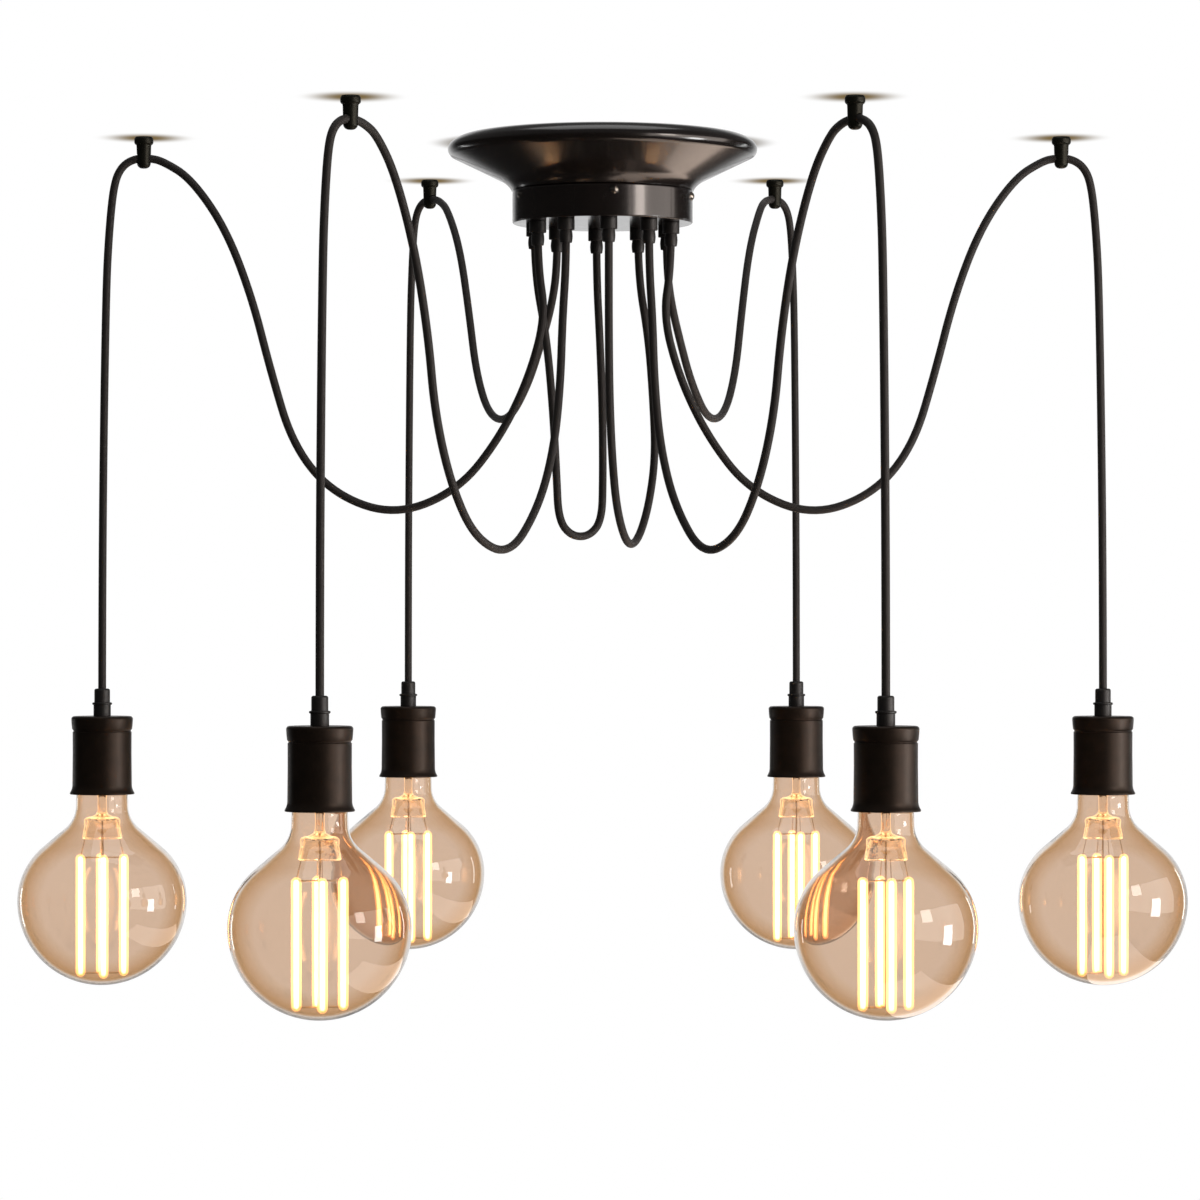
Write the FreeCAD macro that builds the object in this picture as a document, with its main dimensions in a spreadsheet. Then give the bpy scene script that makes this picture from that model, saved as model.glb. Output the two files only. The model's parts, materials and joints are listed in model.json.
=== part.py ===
"""Spider chandelier: six lamps on long cords that swag from one ceiling canopy over ceiling hooks.

Millimetres, +Z up. The origin is the middle of the canopy on the ceiling plane, so the whole
light hangs below Z = 0, and -Y is the front. Each sub-part is written to parts/NAME.step.
"""

import FreeCAD, Part
import math
import os
import Sketcher

SIZES = {
    # canopy: a trumpet-shaped flare against the ceiling and a drawn cup below it
    "canopy_wall": 1.5,
    "flare_lip_radius": 115,
    "flare_rim_angle": 84,
    "flare_roll_radius": 20,
    "flare_roll_angle": 48,
    "flare_shoulder_radius": 6,
    "flare_slope_angle": 64,
    "flare_throat_radius": 20,
    "flare_throat_angle": 30,
    "flare_neck_overhang": 0.5,
    "spigot_length": 10,
    "cup_radius": 67,
    "cup_height": 24.3,
    "cup_edge_radius": 1.2,
    "slip_gap": 0.15,
    "cut_overrun": 8,
    # the plate that the ceiling screws hold, and the screws that hold the cup to its ears
    "plate_thickness": 2,
    "plate_wire_radius": 12,
    "ceiling_bolt_pitch": 90,
    "ceiling_bolt_bore": 5.2,
    "ear_width": 12,
    "ear_tail": 5,
    "ear_gap": 0.7,
    "cup_screw_count": 5,
    "cup_screw_turn": 7.2,
    "cup_screw_drop": 5,
    "cup_screw_radius": 1.9,
    "cup_screw_length": 7,
    "cup_screw_head_radius": 3.4,
    "cup_screw_head_height": 2.2,
    # terminal block under the plate
    "terminal_length": 46,
    "terminal_width": 19,
    "terminal_height": 17,
    "terminal_offset": 28,
    "terminal_pole_count": 4,
    "terminal_pole_pitch": 11,
    "terminal_well_radius": 2.6,
    "terminal_well_depth": 7,
    "terminal_entry_radius": 2.1,
    "terminal_entry_height": 6,
    "terminal_screw_pitch": 22,
    "terminal_screw_radius": 1.4,
    "terminal_screw_head_radius": 2.5,
    "terminal_screw_head_height": 1.6,
    # cord grips in the floor of the cup
    "outlet_count": 10,
    "outlet_turn": 5,
    "outlet_inset": 15,
    "grip_shank_radius": 5,
    "grip_shank_height": 9,
    "grip_collar_radius": 6.3,
    "grip_collar_height": 8.4,
    "grip_body_radius": 4.4,
    "grip_body_belly": 0.5,
    "grip_body_height": 9.4,
    "grip_nut_radius": 7.5,
    "grip_nut_height": 3,
    # the cord, a braided flex
    "cord_radius": 3,
    "cord_gap": 0.3,
    "cord_start": 3.3,
    # ceiling hooks, each a base and a bored body
    "hook_collar_radius": 7.1,
    "hook_collar_height": 3.2,
    "hook_collar_edge": 1.2,
    "hook_waist_radius": 6,
    "hook_waist_height": 2,
    "hook_stem_radius": 5.1,
    "hook_height": 23.4,
    "hook_tip_radius": 3.6,
    "hook_bore_depth": 16,
    "hook_bore_radius": 3.5,
    "hook_base_radius": 4.4,
    "hook_base_height": 5.5,
    "hook_screw_bore": 4.2,
    "hook_screw_head_bore": 7.4,
    "hook_screw_head_depth": 2.2,
    "side_hook_x": 341,
    "side_hook_y": 0,
    "front_hook_x": 172.5,
    "front_hook_y": 262,
    "back_hook_x": 141,
    "back_hook_y": 325,
    "side_heading": 0,
    "front_heading": 51,
    "back_heading": 53,
    # from the hook to the lamp
    "lamp_reach": 31,
    "pivot_depth": 60,
    "lip_depth": 488.5,
    # lamp holder, measured up from its lip
    "holder_radius": 22,
    "holder_wall": 1.6,
    "holder_height": 58,
    "holder_roof": 2,
    "holder_lip_flare": 1.9,
    "holder_lip_height": 3.2,
    "holder_bead": 0.8,
    "holder_bead_height": 4,
    "holder_edge_radius": 1.2,
    "holder_groove": 0.5,
    "holder_groove_height": 1.4,
    "insert_gap": 0.2,
    "insert_bottom": 14,
    "insert_cavity_top": 36,
    "insert_mouth_height": 3,
    "insert_mouth_flare": 1.5,
    "nipple_radius": 4.9,
    "nipple_height": 6.5,
    "holder_grip_base_radius": 6.4,
    "holder_grip_base_height": 8.5,
    "holder_grip_flange_radius": 7.3,
    "holder_grip_flange_height": 1.6,
    "holder_grip_top_radius": 5.8,
    "holder_grip_top_edge": 1.6,
    "holder_grip_height": 20.5,
    "holder_cord_depth": 10,
    # bulb: screw cap, globe and filaments, measured from the holder's lip
    "turn_gap": 0.3,
    "cap_radius": 13.1,
    "cap_wall": 0.5,
    "cap_rim": 9,
    "cap_shoulder": 30,
    "cap_crown_radius": 7,
    "cap_crown": 33.4,
    "cap_tip_radius": 4.2,
    "globe_radius": 62.6,
    "globe_depth": 79.2,
    "globe_shoulder_radius": 52,
    "globe_shoulder_angle": 50,
    "globe_neck_radius": 19.3,
    "globe_throat_radius": 18.2,
    "globe_throat_height": 2,
    "globe_blend_radius": 22,
    "globe_wall": 1,
    "globe_rim": 16,
    "stem_radius": 3.2,
    "stem_foot_thickness": 1.5,
    "stem_waist_height": 6,
    "stem_bell_radius": 14.5,
    "stem_bell_top": 12,
    "stem_bell_bottom": 33.5,
    "stem_bell_wall": 1.2,
    "filament_count": 4,
    "filament_turn": 20,
    "filament_radius": 1.6,
    "filament_ring_radius": 16,
    "filament_top": 47,
    "filament_bottom": 133,
    "wire_radius": 0.7,
}

# Each station is a hook with its lamp: its pair, which way it lies in X and Y, and its outlet.
STATIONS = {
    "side_left": ("side", -1, 1, 8),
    "side_right": ("side", 1, 1, 2),
    "front_left": ("front", -1, -1, 9),
    "front_right": ("front", 1, -1, 1),
    "back_left": ("back", -1, 1, 6),
    "back_right": ("back", 1, 1, 3),
}

# Each swag's points: the share of the way from its hook to its outlet, and the depth below the ceiling.
SWAGS = {
    "side": [
        (1, 98), (1.02, 134), (0.978, 180), (0.905, 224), (0.8, 263), (0.64, 282),
        (0.483, 266), (0.38, 230), (0.323, 174), (0.275, 119), (0.208, 68), (0.12, 31),
    ],
    "front": [
        (1, 98), (0.982, 138), (0.972, 186), (0.94, 234), (0.865, 277), (0.725, 313),
        (0.56, 301), (0.45, 264), (0.375, 214), (0.345, 160), (0.285, 101), (0.195, 49), (0.113, 24),
    ],
    "back": [
        (1, 94), (0.96, 122), (0.88, 150), (0.785, 179), (0.64, 205), (0.49, 200),
        (0.385, 165), (0.325, 114), (0.252, 62), (0.15, 28),
    ],
}

# Over the hook: the distance outwards from the hook's axis, and the depth below the ceiling.
OVER_HOOK = [(-13, 16), (12, 16), (22.8, 22), (29.8, 32.5), (31, 45.2)]

# The short loops below the canopy: the outlets at their ends, and the points between them.
LOOPS = {
    "loop_left": (5, 7, [
        (-4.5, 51.8, -100), (-2, 51.6, -147), (0, 51, -200), (0.3, 50.8, -252), (-0.5, 50.5, -284),
        (-10, 43, -296.2), (-23.5, 32.3, -296.2), (-33, 24.8, -284), (-34.4, 24.6, -252),
        (-37.2, 23.4, -200), (-42, 19.4, -147), (-50.7, 11.7, -100),
    ]),
    "loop_right": (0, 4, [
        (4.5, -51.8, -100), (4.5, -54.5, -146), (5, -56, -196), (7, -52.5, -242),
        (10.5, -39, -279), (18, -14, -304), (26, 13, -301), (34.5, 34, -275),
        (40, 45, -236), (38, 49, -190), (34.5, 48.5, -145), (26.8, 44.6, -100),
    ]),
}

RUN_SHARE = 0.45  # how much of the shorter run each bend of a cord takes
FULL_TURN = 360
X_AXIS, Z_AXIS = FreeCAD.Vector(1, 0, 0), FreeCAD.Vector(0, 0, 1)
MIDDLE_INDEX, LEVEL_INDEX, UPRIGHT_INDEX = (-1, 1), -1, -2  # a sketch's own middle and axes

doc = FreeCAD.newDocument("spider_chandelier")
sheet = doc.addObject("Spreadsheet::Sheet", "Sizes")
for row, (alias, number) in enumerate(SIZES.items(), start=1):
    sheet.set(f"A{row}", alias)
    sheet.set(f"B{row}", str(number))
    sheet.setAlias(f"B{row}", alias)
doc.recompute()

parts = {}


class Size:
    """A number together with the sheet expression that gives it."""

    def __init__(self, number, text):
        self.number, self.text = number, text

    def __add__(self, other):
        other = as_size(other)
        return Size(self.number + other.number, f"({self.text} + {other.text})")

    def __sub__(self, other):
        other = as_size(other)
        return Size(self.number - other.number, f"({self.text} - {other.text})")

    def __mul__(self, other):
        other = as_size(other)
        return Size(self.number * other.number, f"({self.text} * {other.text})")

    def __truediv__(self, other):
        other = as_size(other)
        return Size(self.number / other.number, f"({self.text} / {other.text})")

    def __neg__(self):
        return Size(-self.number, f"(-1 * {self.text})")


def as_size(value):
    return value if isinstance(value, Size) else Size(value, str(value))


def size(alias):
    """The sheet's value of that name."""
    return Size(float(getattr(sheet, alias)), f"Sizes.{alias}")


def sine(angle):
    return Size(math.sin(math.radians(angle.number)), f"sin({angle.text})")


def cosine(angle):
    return Size(math.cos(math.radians(angle.number)), f"cos({angle.text})")


ZERO = Size(0, "0")


def pin(sketch, geometry, point, x, y):
    """Hold one point of a sketch at x, y from its middle, and on an axis where that is zero."""
    for kind, place, axis in (("DistanceX", x, UPRIGHT_INDEX), ("DistanceY", y, LEVEL_INDEX)):
        if place.number == 0:
            sketch.addConstraint(Sketcher.Constraint("PointOnObject", geometry, point, axis))
            continue
        ends = (*MIDDLE_INDEX, geometry, point) if place.number > 0 else (geometry, point, *MIDDLE_INDEX)
        away = place if place.number > 0 else -place
        index = sketch.addConstraint(Sketcher.Constraint(kind, *ends, away.number))
        sketch.setExpression(f"Constraints[{index}]", away.text)


def hold_radius(sketch, geometry, radius):
    index = sketch.addConstraint(Sketcher.Constraint("Radius", geometry, radius.number))
    sketch.setExpression(f"Constraints[{index}]", radius.text)


def start_sketch(body, role, name):
    """A sketch on one of the body's own origin planes."""
    sketch = body.newObject("Sketcher::SketchObject", name)
    plane = [item for item in body.Origin.OriginFeatures if item.Role == role][0]
    sketch.AttachmentSupport = [(plane, "")]
    sketch.MapMode = "FlatFace"
    return sketch


def arc_between(start, end, radius):
    """The short arc from start to end, with its centre to the left where the radius is positive."""
    middle, chord = (start + end) / 2, end - start
    side = FreeCAD.Vector(-chord.y, chord.x, 0).normalize()
    rise = math.copysign(math.sqrt(max(radius**2 - chord.Length**2 / 4, 0)), radius)
    centre = middle + side * rise
    ends = (start, end) if radius > 0 else (end, start)
    first, last = [math.atan2(spot.y - centre.y, spot.x - centre.x) for spot in ends]
    return Part.ArcOfCircle(Part.Circle(centre, Z_AXIS, abs(radius)), first, last)


def draw_outline(sketch, outline):
    """Closed outline of (x, y) points; a third entry is the radius of the arc that leads there."""
    corners = [tuple(as_size(value) for value in corner) for corner in outline]
    spots = [FreeCAD.Vector(corner[0].number, corner[1].number, 0) for corner in corners]
    edges = []
    for index, corner in enumerate(corners):
        start, end = spots[index - 1], spots[index]
        if len(corner) == 2:
            edges.append((sketch.addGeometry(Part.LineSegment(start, end)), 1, 2))
            continue
        radius = corner[2]
        geometry = sketch.addGeometry(arc_between(start, end, radius.number))
        edges.append((geometry, 1, 2) if radius.number > 0 else (geometry, 2, 1))
        hold_radius(sketch, geometry, radius if radius.number > 0 else -radius)
    for index, (geometry, _, last) in enumerate(edges):
        following, first, _ = edges[(index + 1) % len(edges)]
        sketch.addConstraint(Sketcher.Constraint("Coincident", geometry, last, following, first))
        pin(sketch, geometry, last, corners[index][0], corners[index][1])


def turned(label, outline):
    """A body turned from an outline of (radius, height) points."""
    body = doc.addObject("PartDesign::Body", label)
    sketch = start_sketch(body, "XZ_Plane", f"{label}_profile")
    draw_outline(sketch, outline)
    turning = body.newObject("PartDesign::Revolution", f"{label}_turning")
    turning.Profile = sketch
    turning.ReferenceAxis = (sketch, ["V_Axis"])
    turning.Angle = FULL_TURN
    body.Tip = turning
    return body


def pressed(label, outline, height, bores=()):
    """A body raised from an outline on its ground plane, with round bores (x, y, radius)."""
    body = doc.addObject("PartDesign::Body", label)
    sketch = start_sketch(body, "XY_Plane", f"{label}_outline")
    draw_outline(sketch, outline)
    for x, y, radius in bores:
        middle = FreeCAD.Vector(x.number, y.number, 0)
        geometry = sketch.addGeometry(Part.Circle(middle, Z_AXIS, radius.number))
        hold_radius(sketch, geometry, radius)
        pin(sketch, geometry, 3, x, y)
    pad = body.newObject("PartDesign::Pad", f"{label}_pad")
    pad.Profile = sketch
    pad.setExpression("Length", height.text)
    body.Tip = pad
    return body


def place(thing, x=ZERO, y=ZERO, z=ZERO, turn=FreeCAD.Rotation()):
    """Turn an object and move it, with its place bound to the sheet."""
    thing.Placement = FreeCAD.Placement(FreeCAD.Vector(), turn)
    for letter, value in (("x", x), ("y", y), ("z", z)):
        thing.setExpression(f"Placement.Base.{letter}", as_size(value).text)
    return thing


def place_round(thing, angle, outward, z, sideways=ZERO, lay=FreeCAD.Rotation()):
    """Place an object round the canopy: angle from the front towards the right, then outward and sideways."""
    x = sideways * cosine(angle) + outward * sine(angle)
    y = sideways * sine(angle) - outward * cosine(angle)
    return place(thing, x, y, z, FreeCAD.Rotation(Z_AXIS, angle.number) * lay)


FACING_OUT = FreeCAD.Rotation(X_AXIS, 90)  # lays an upright piece down so that its top faces the front


def rod(label, radius, length):
    """A plain cylinder that stands on its own origin."""
    cylinder = doc.addObject("Part::Cylinder", label)
    cylinder.setExpression("Radius", radius.text)
    cylinder.setExpression("Height", length.text)
    return cylinder


def box(label, length, width, height):
    """A plain box from its own origin along X, Y and Z."""
    block = doc.addObject("Part::Box", label)
    for name, value in (("Length", length), ("Width", width), ("Height", height)):
        block.setExpression(name, value.text)
    return block


def compound(label, members):
    """Several separate solids in one object."""
    gathered = doc.addObject("Part::Compound", label)
    gathered.Links = members
    return gathered


def joined(label, members):
    fused = doc.addObject("Part::MultiFuse", label)
    fused.Shapes = members
    return fused


def drilled(label, base, tools):
    """The base with the tools taken away."""
    result = doc.addObject("Part::Cut", label)
    result.Base = base
    result.Tool = compound(f"{label}_tools", tools)
    return result


def keep(label, thing):
    """Make an object one of the sub-parts that are written out."""
    thing.Label = label
    parts[label] = thing
    return thing


def angles_round(count, first):
    """The angles of evenly spaced places round the canopy."""
    return [first + as_size(index * FULL_TURN) / count for index in range(int(count.number))]


def outlet_angles():
    return angles_round(size("outlet_count"), size("outlet_turn"))


def outlet_place(index):
    """Where an outlet is, from the middle of the canopy."""
    angle = outlet_angles()[index]
    return OUTLET_PITCH * sine(angle), -(OUTLET_PITCH * cosine(angle))


def cup_screw_angles():
    return angles_round(size("cup_screw_count"), size("cup_screw_turn"))


# Depths of the canopy that follow from its profile.
SLOPE, THROAT = size("flare_slope_angle"), size("flare_throat_angle")
ROLL, RIM = size("flare_roll_angle"), size("flare_rim_angle")
SHOULDER_X = size("flare_lip_radius") - size("flare_shoulder_radius")
ROLL_X = SHOULDER_X - (size("flare_roll_radius") - size("flare_shoulder_radius")) * cosine(ROLL)
ROLL_DEPTH = size("flare_roll_radius") * sine(RIM)
LIP_DEPTH = ROLL_DEPTH - (size("flare_roll_radius") - size("flare_shoulder_radius")) * sine(ROLL)
NECK_RADIUS = size("cup_radius") + size("flare_neck_overhang")
THROAT_X = NECK_RADIUS + size("flare_throat_radius") * cosine(THROAT)
SLOPE_RUN = (
    SHOULDER_X + size("flare_shoulder_radius") * cosine(SLOPE)
    - THROAT_X + size("flare_throat_radius") * cosine(SLOPE)
)
SLOPE_START = LIP_DEPTH + size("flare_shoulder_radius") * sine(SLOPE)
SLOPE_END = SLOPE_START + SLOPE_RUN * cosine(SLOPE) / sine(SLOPE)
THROAT_DEPTH = SLOPE_END + size("flare_throat_radius") * sine(SLOPE)
NECK_DEPTH = THROAT_DEPTH - size("flare_throat_radius") * sine(THROAT)
CUP_FLOOR = NECK_DEPTH + size("cup_height")
CUP_SCREW_DEPTH = NECK_DEPTH + size("cup_screw_drop")
SPIGOT_RADIUS = size("cup_radius") - size("canopy_wall") - size("slip_gap")
EAR_RADIUS = SPIGOT_RADIUS - size("canopy_wall") - size("ear_gap")
EAR_DEPTH = CUP_SCREW_DEPTH + size("ear_tail")
OUTLET_PITCH = size("cup_radius") - size("outlet_inset")
OVERRUN = size("cut_overrun")


def rim_point(radius):
    """The end of the flare's rolled lip, on the outside or the inside of its wall."""
    return ROLL_X + radius * cosine(RIM), radius * sine(RIM) - ROLL_DEPTH


def lip_point(radius):
    """Where the flare's shoulder arc goes over into the roll of its lip."""
    return SHOULDER_X + radius * cosine(ROLL), radius * sine(ROLL) - LIP_DEPTH


def shoulder_point(radius):
    """The low end of the flare's shoulder arc."""
    return SHOULDER_X + radius * cosine(SLOPE), -LIP_DEPTH - radius * sine(SLOPE)


def throat_point(radius, angle):
    """A point of the flare's throat arc, whose centre lies outside the flare."""
    return THROAT_X - radius * cosine(angle), radius * sine(angle) - THROAT_DEPTH


def cup_screw_cutters(name, start, length):
    """Cylinders along the cup's screws, from a distance off the canopy's axis."""
    cutters = []
    for index, angle in enumerate(cup_screw_angles()):
        cutter = rod(f"{name}_{index}", size("cup_screw_radius") + size("slip_gap"), length)
        cutters.append(place_round(cutter, angle, start, -CUP_SCREW_DEPTH, lay=FACING_OUT))
    return cutters


def build_flare():
    wall, roll = size("canopy_wall"), size("flare_roll_radius")
    shoulder, throat = size("flare_shoulder_radius"), size("flare_throat_radius")
    spigot_end = NECK_DEPTH + size("spigot_length")
    blank = turned("flare_blank", [
        rim_point(roll),
        (*lip_point(shoulder), -roll),
        (*shoulder_point(shoulder), -shoulder),
        throat_point(throat, SLOPE),
        (*throat_point(throat, THROAT), throat),
        (SPIGOT_RADIUS, -NECK_DEPTH),
        (SPIGOT_RADIUS, -spigot_end),
        (SPIGOT_RADIUS - wall, -spigot_end),
        (SPIGOT_RADIUS - wall, wall - NECK_DEPTH),
        throat_point(throat + wall, THROAT),
        (*throat_point(throat + wall, SLOPE), -(throat + wall)),
        shoulder_point(shoulder - wall),
        (*lip_point(shoulder - wall), shoulder - wall),
        (*rim_point(roll - wall), roll - wall),
    ])
    cutters = cup_screw_cutters("flare_screw_hole", SPIGOT_RADIUS - OVERRUN, OVERRUN * 2)
    keep("canopy_flare", drilled("canopy_flare", blank, cutters))


def build_cup():
    wall, outer, edge = size("canopy_wall"), size("cup_radius"), size("cup_edge_radius")
    inner = outer - wall
    blank = turned("cup_blank", [
        (ZERO, -CUP_FLOOR),
        (outer - edge, -CUP_FLOOR),
        (outer, edge - CUP_FLOOR, edge),
        (outer, -NECK_DEPTH - wall),
        (inner, -NECK_DEPTH, wall),
        (inner, wall - CUP_FLOOR),
        (ZERO, wall - CUP_FLOOR),
    ])
    cutters = cup_screw_cutters("cup_screw_hole", outer - OVERRUN, OVERRUN * 2)
    for index, angle in enumerate(outlet_angles()):
        cutter = rod(f"outlet_{index}", size("grip_shank_radius") + size("slip_gap"), OVERRUN * 2)
        cutters.append(place_round(cutter, angle, OUTLET_PITCH, -CUP_FLOOR - OVERRUN))
    keep("canopy_cup", drilled("canopy_cup", blank, cutters))


def build_cup_screws():
    shank, head = size("cup_screw_radius"), size("cup_screw_head_radius")
    height = size("cup_screw_head_height")
    dome = (head * head + height * height) / (height * 2)
    screws = []
    for index, angle in enumerate(cup_screw_angles()):
        screw = turned(f"cup_screw_{index}", [
            (ZERO, -size("cup_screw_length")),
            (shank, -size("cup_screw_length")),
            (shank, ZERO),
            (head, ZERO),
            (ZERO, height, dome),
        ])
        screws.append(place_round(screw, angle, size("cup_radius"), -CUP_SCREW_DEPTH, lay=FACING_OUT))
    keep("cup_screws", compound("cup_screws", screws))


def build_ceiling_plate():
    thick, half = size("plate_thickness"), size("ear_width") / 2
    disc = place(rod("plate_disc", EAR_RADIUS - thick / 2, thick), z=-thick)
    ears = []
    for index, angle in enumerate(cup_screw_angles()):
        ear = box(f"plate_ear_{index}", size("ear_width"), thick, EAR_DEPTH)
        ears.append(place_round(ear, angle, EAR_RADIUS, -EAR_DEPTH, sideways=-half))
    holes = cup_screw_cutters("ear_screw_hole", EAR_RADIUS - OVERRUN, OVERRUN * 2)
    through, bolt = (thick + OVERRUN) * 2, size("ceiling_bolt_bore") / 2
    holes.append(place(rod("wire_hole", size("plate_wire_radius"), through), z=-through / 2))
    for side in (-1, 1):
        hole = rod(f"ceiling_bolt_{side + 1}", bolt, through)
        holes.append(place(hole, x=size("ceiling_bolt_pitch") * side / 2, z=-through / 2))
        pilot = rod(f"terminal_pilot_{side + 1}", size("terminal_screw_radius") + size("slip_gap"), through)
        holes.append(place(pilot, terminal_screw_x(side), size("terminal_offset"), -through / 2))
    keep("ceiling_plate", drilled("ceiling_plate", joined("plate_blank", [disc, *ears]), holes))


def terminal_screw_x(side):
    return size("terminal_screw_pitch") * side / 2


def build_terminal_block():
    long, wide, tall = size("terminal_length"), size("terminal_width"), size("terminal_height")
    top, middle = -size("plate_thickness"), size("terminal_offset")
    block = place(box("terminal_blank", long, wide, tall), -long / 2, middle - wide / 2, top - tall)
    holes = []
    first = -(size("terminal_pole_pitch") * (size("terminal_pole_count") - 1) / 2)
    for pole in range(int(size("terminal_pole_count").number)):
        x = first + size("terminal_pole_pitch") * pole
        for side in (-1, 1):
            well = rod(f"terminal_well_{pole}_{side + 1}", size("terminal_well_radius"),
                       size("terminal_well_depth") + OVERRUN)
            holes.append(place(well, x, middle + wide * side / 4, top - tall - OVERRUN))
        entry = rod(f"terminal_entry_{pole}", size("terminal_entry_radius"), wide + OVERRUN * 2)
        height = top - tall + size("terminal_entry_height")
        holes.append(place(entry, x, middle + wide / 2 + OVERRUN, height, FACING_OUT))
    for side in (-1, 1):
        bore = rod(f"terminal_bore_{side + 1}", size("terminal_screw_radius") + size("slip_gap"),
                   tall + OVERRUN * 2)
        holes.append(place(bore, terminal_screw_x(side), middle, top - tall - OVERRUN))
    keep("terminal_block", drilled("terminal_block", block, holes))

    shank, head = size("terminal_screw_radius"), size("terminal_screw_head_radius")
    screws = []
    for side in (-1, 1):
        screw = turned(f"terminal_screw_{side + 1}", [
            (ZERO, -size("terminal_screw_head_height")),
            (head, -size("terminal_screw_head_height")),
            (head, ZERO),
            (shank, ZERO),
            (shank, tall + size("plate_thickness")),
            (ZERO, tall + size("plate_thickness")),
        ])
        screws.append(place(screw, terminal_screw_x(side), middle, top - tall))
    keep("terminal_screws", compound("terminal_screws", screws))


def build_canopy_grips():
    bore = size("cord_radius") + size("cord_gap")
    shank, collar, body = size("grip_shank_radius"), size("grip_collar_radius"), size("grip_body_radius")
    collar_end = size("grip_collar_height")
    tail, belly = size("grip_body_height"), size("grip_body_belly")
    bow = (tail * tail / 4 + belly * belly) / (belly * 2)
    nut_corner = size("grip_nut_radius")
    hexagon = [
        (nut_corner * cosine(as_size(turn)), nut_corner * sine(as_size(turn)))
        for turn in (30, 90, 150, 210, 270, 330)
    ]
    hexagon = [(ZERO if abs(x.number) < 1e-9 else x, y) for x, y in hexagon]
    grips, nuts = [], []
    for index, angle in enumerate(outlet_angles()):
        grip = turned(f"canopy_grip_{index}", [
            (bore, -collar_end - tail),
            (body, -collar_end - tail),
            (body, -collar_end, bow),
            (collar, -collar_end),
            (collar, ZERO),
            (shank, ZERO),
            (shank, size("grip_shank_height")),
            (bore, size("grip_shank_height")),
        ])
        grips.append(place_round(grip, angle, OUTLET_PITCH, -CUP_FLOOR))
        nut = pressed(f"grip_nut_{index}", hexagon, size("grip_nut_height"),
                      [(ZERO, ZERO, shank + size("slip_gap"))])
        nuts.append(place_round(nut, angle, OUTLET_PITCH, size("canopy_wall") - CUP_FLOOR))
    keep("canopy_grips", compound("canopy_grips", grips))
    keep("grip_nuts", compound("grip_nuts", nuts))


def hook_place(station):
    """Where a station's hook is on the ceiling."""
    pair, across, along, _ = STATIONS[station]
    return size(f"{pair}_hook_x") * across, size(f"{pair}_hook_y") * along


def heading(station):
    """The direction in which a station's cord runs out through its hook, as its X and Y shares."""
    pair, across, along, _ = STATIONS[station]
    angle = size(f"{pair}_heading")
    return cosine(angle) * across, sine(angle) * along


def lamp_place(station):
    """Where a station's lamp hangs."""
    (x, y), (east, north) = hook_place(station), heading(station)
    return x + size("lamp_reach") * east, y + size("lamp_reach") * north


def build_hooks():
    collar, edge = size("hook_collar_radius"), size("hook_collar_edge")
    collar_end, waist = size("hook_collar_height"), size("hook_waist_radius")
    stem, tip, end = size("hook_stem_radius"), size("hook_tip_radius"), size("hook_height")
    base, base_end, gap = size("hook_base_radius"), size("hook_base_height"), size("slip_gap")
    screw, screw_head = size("hook_screw_bore") / 2, size("hook_screw_head_bore") / 2
    head_start = base_end - size("hook_screw_head_depth")
    bodies, bases = [], []
    for station in STATIONS:
        x, y = hook_place(station)
        east, north = heading(station)
        blank = turned(f"hook_blank_{station}", [
            (base + gap, ZERO),
            (base + gap, -base_end - gap),
            (ZERO, -base_end - gap),
            (ZERO, -end),
            (stem - tip, -end),
            (stem, tip - end, tip),
            (waist, -collar_end - size("hook_waist_height")),
            (collar - edge, -collar_end),
            (collar, edge - collar_end, edge),
            (collar, ZERO),
        ])
        place(blank, x, y)
        reach = collar + OVERRUN
        bore = rod(f"hook_bore_{station}", size("hook_bore_radius"), reach * 2)
        lay = FreeCAD.Rotation(Z_AXIS, FreeCAD.Vector(east.number, north.number, 0))
        place(bore, x - reach * east, y - reach * north, -size("hook_bore_depth"), lay)
        bodies.append(drilled(f"hook_body_{station}", blank, [bore]))
        foot = turned(f"hook_base_{station}", [
            (screw, ZERO),
            (screw, -head_start),
            (screw_head, -head_start),
            (screw_head, -base_end),
            (base, -base_end),
            (base, ZERO),
        ])
        bases.append(place(foot, x, y))
    keep("hook_bodies", compound("hook_bodies", bodies))
    keep("hook_bases", compound("hook_bases", bases))


def rounded_path(points):
    """Straight runs joined by tangent arcs, each as large as its two runs allow."""
    edges, radii, last = [], [], points[0]
    for before, corner, after in zip(points, points[1:], points[2:]):
        back, ahead = before - corner, after - corner
        half_turn = (math.pi - back.getAngle(ahead)) / 2
        reach = RUN_SHARE * min(back.Length, ahead.Length)
        radii.append(reach / math.tan(half_turn))
        back.normalize()
        ahead.normalize()
        start, end = corner + back * reach, corner + ahead * reach
        inward = (back + ahead).normalize()
        bend = radii[-1] / math.cos(half_turn) - radii[-1]
        edges.append(Part.LineSegment(last, start).toShape())
        edges.append(Part.Arc(start, corner + inward * bend, end).toShape())
        last = end
    edges.append(Part.LineSegment(last, points[-1]).toShape())
    return Part.Wire(edges), min(radii)


def cord(label, points):
    """A round cord along its points."""
    path, tightest = rounded_path(points)
    radius = size("cord_radius").number
    section = Part.Wire(Part.Circle(points[0], points[1] - points[0], radius).toShape())
    sweep = Part.BRepOffsetAPI.MakePipeShell(path)
    sweep.add(section)
    sweep.build()
    sweep.makeSolid()
    piece = doc.addObject("Part::Feature", label)
    piece.Shape = sweep.shape()
    share = piece.Shape.Volume / (math.pi * radius**2 * path.Length)
    print(f"{label}: length {path.Length:.0f}, tightest bend {tightest:.1f}, volume share {share:.4f}")
    keep(label, piece)


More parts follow.
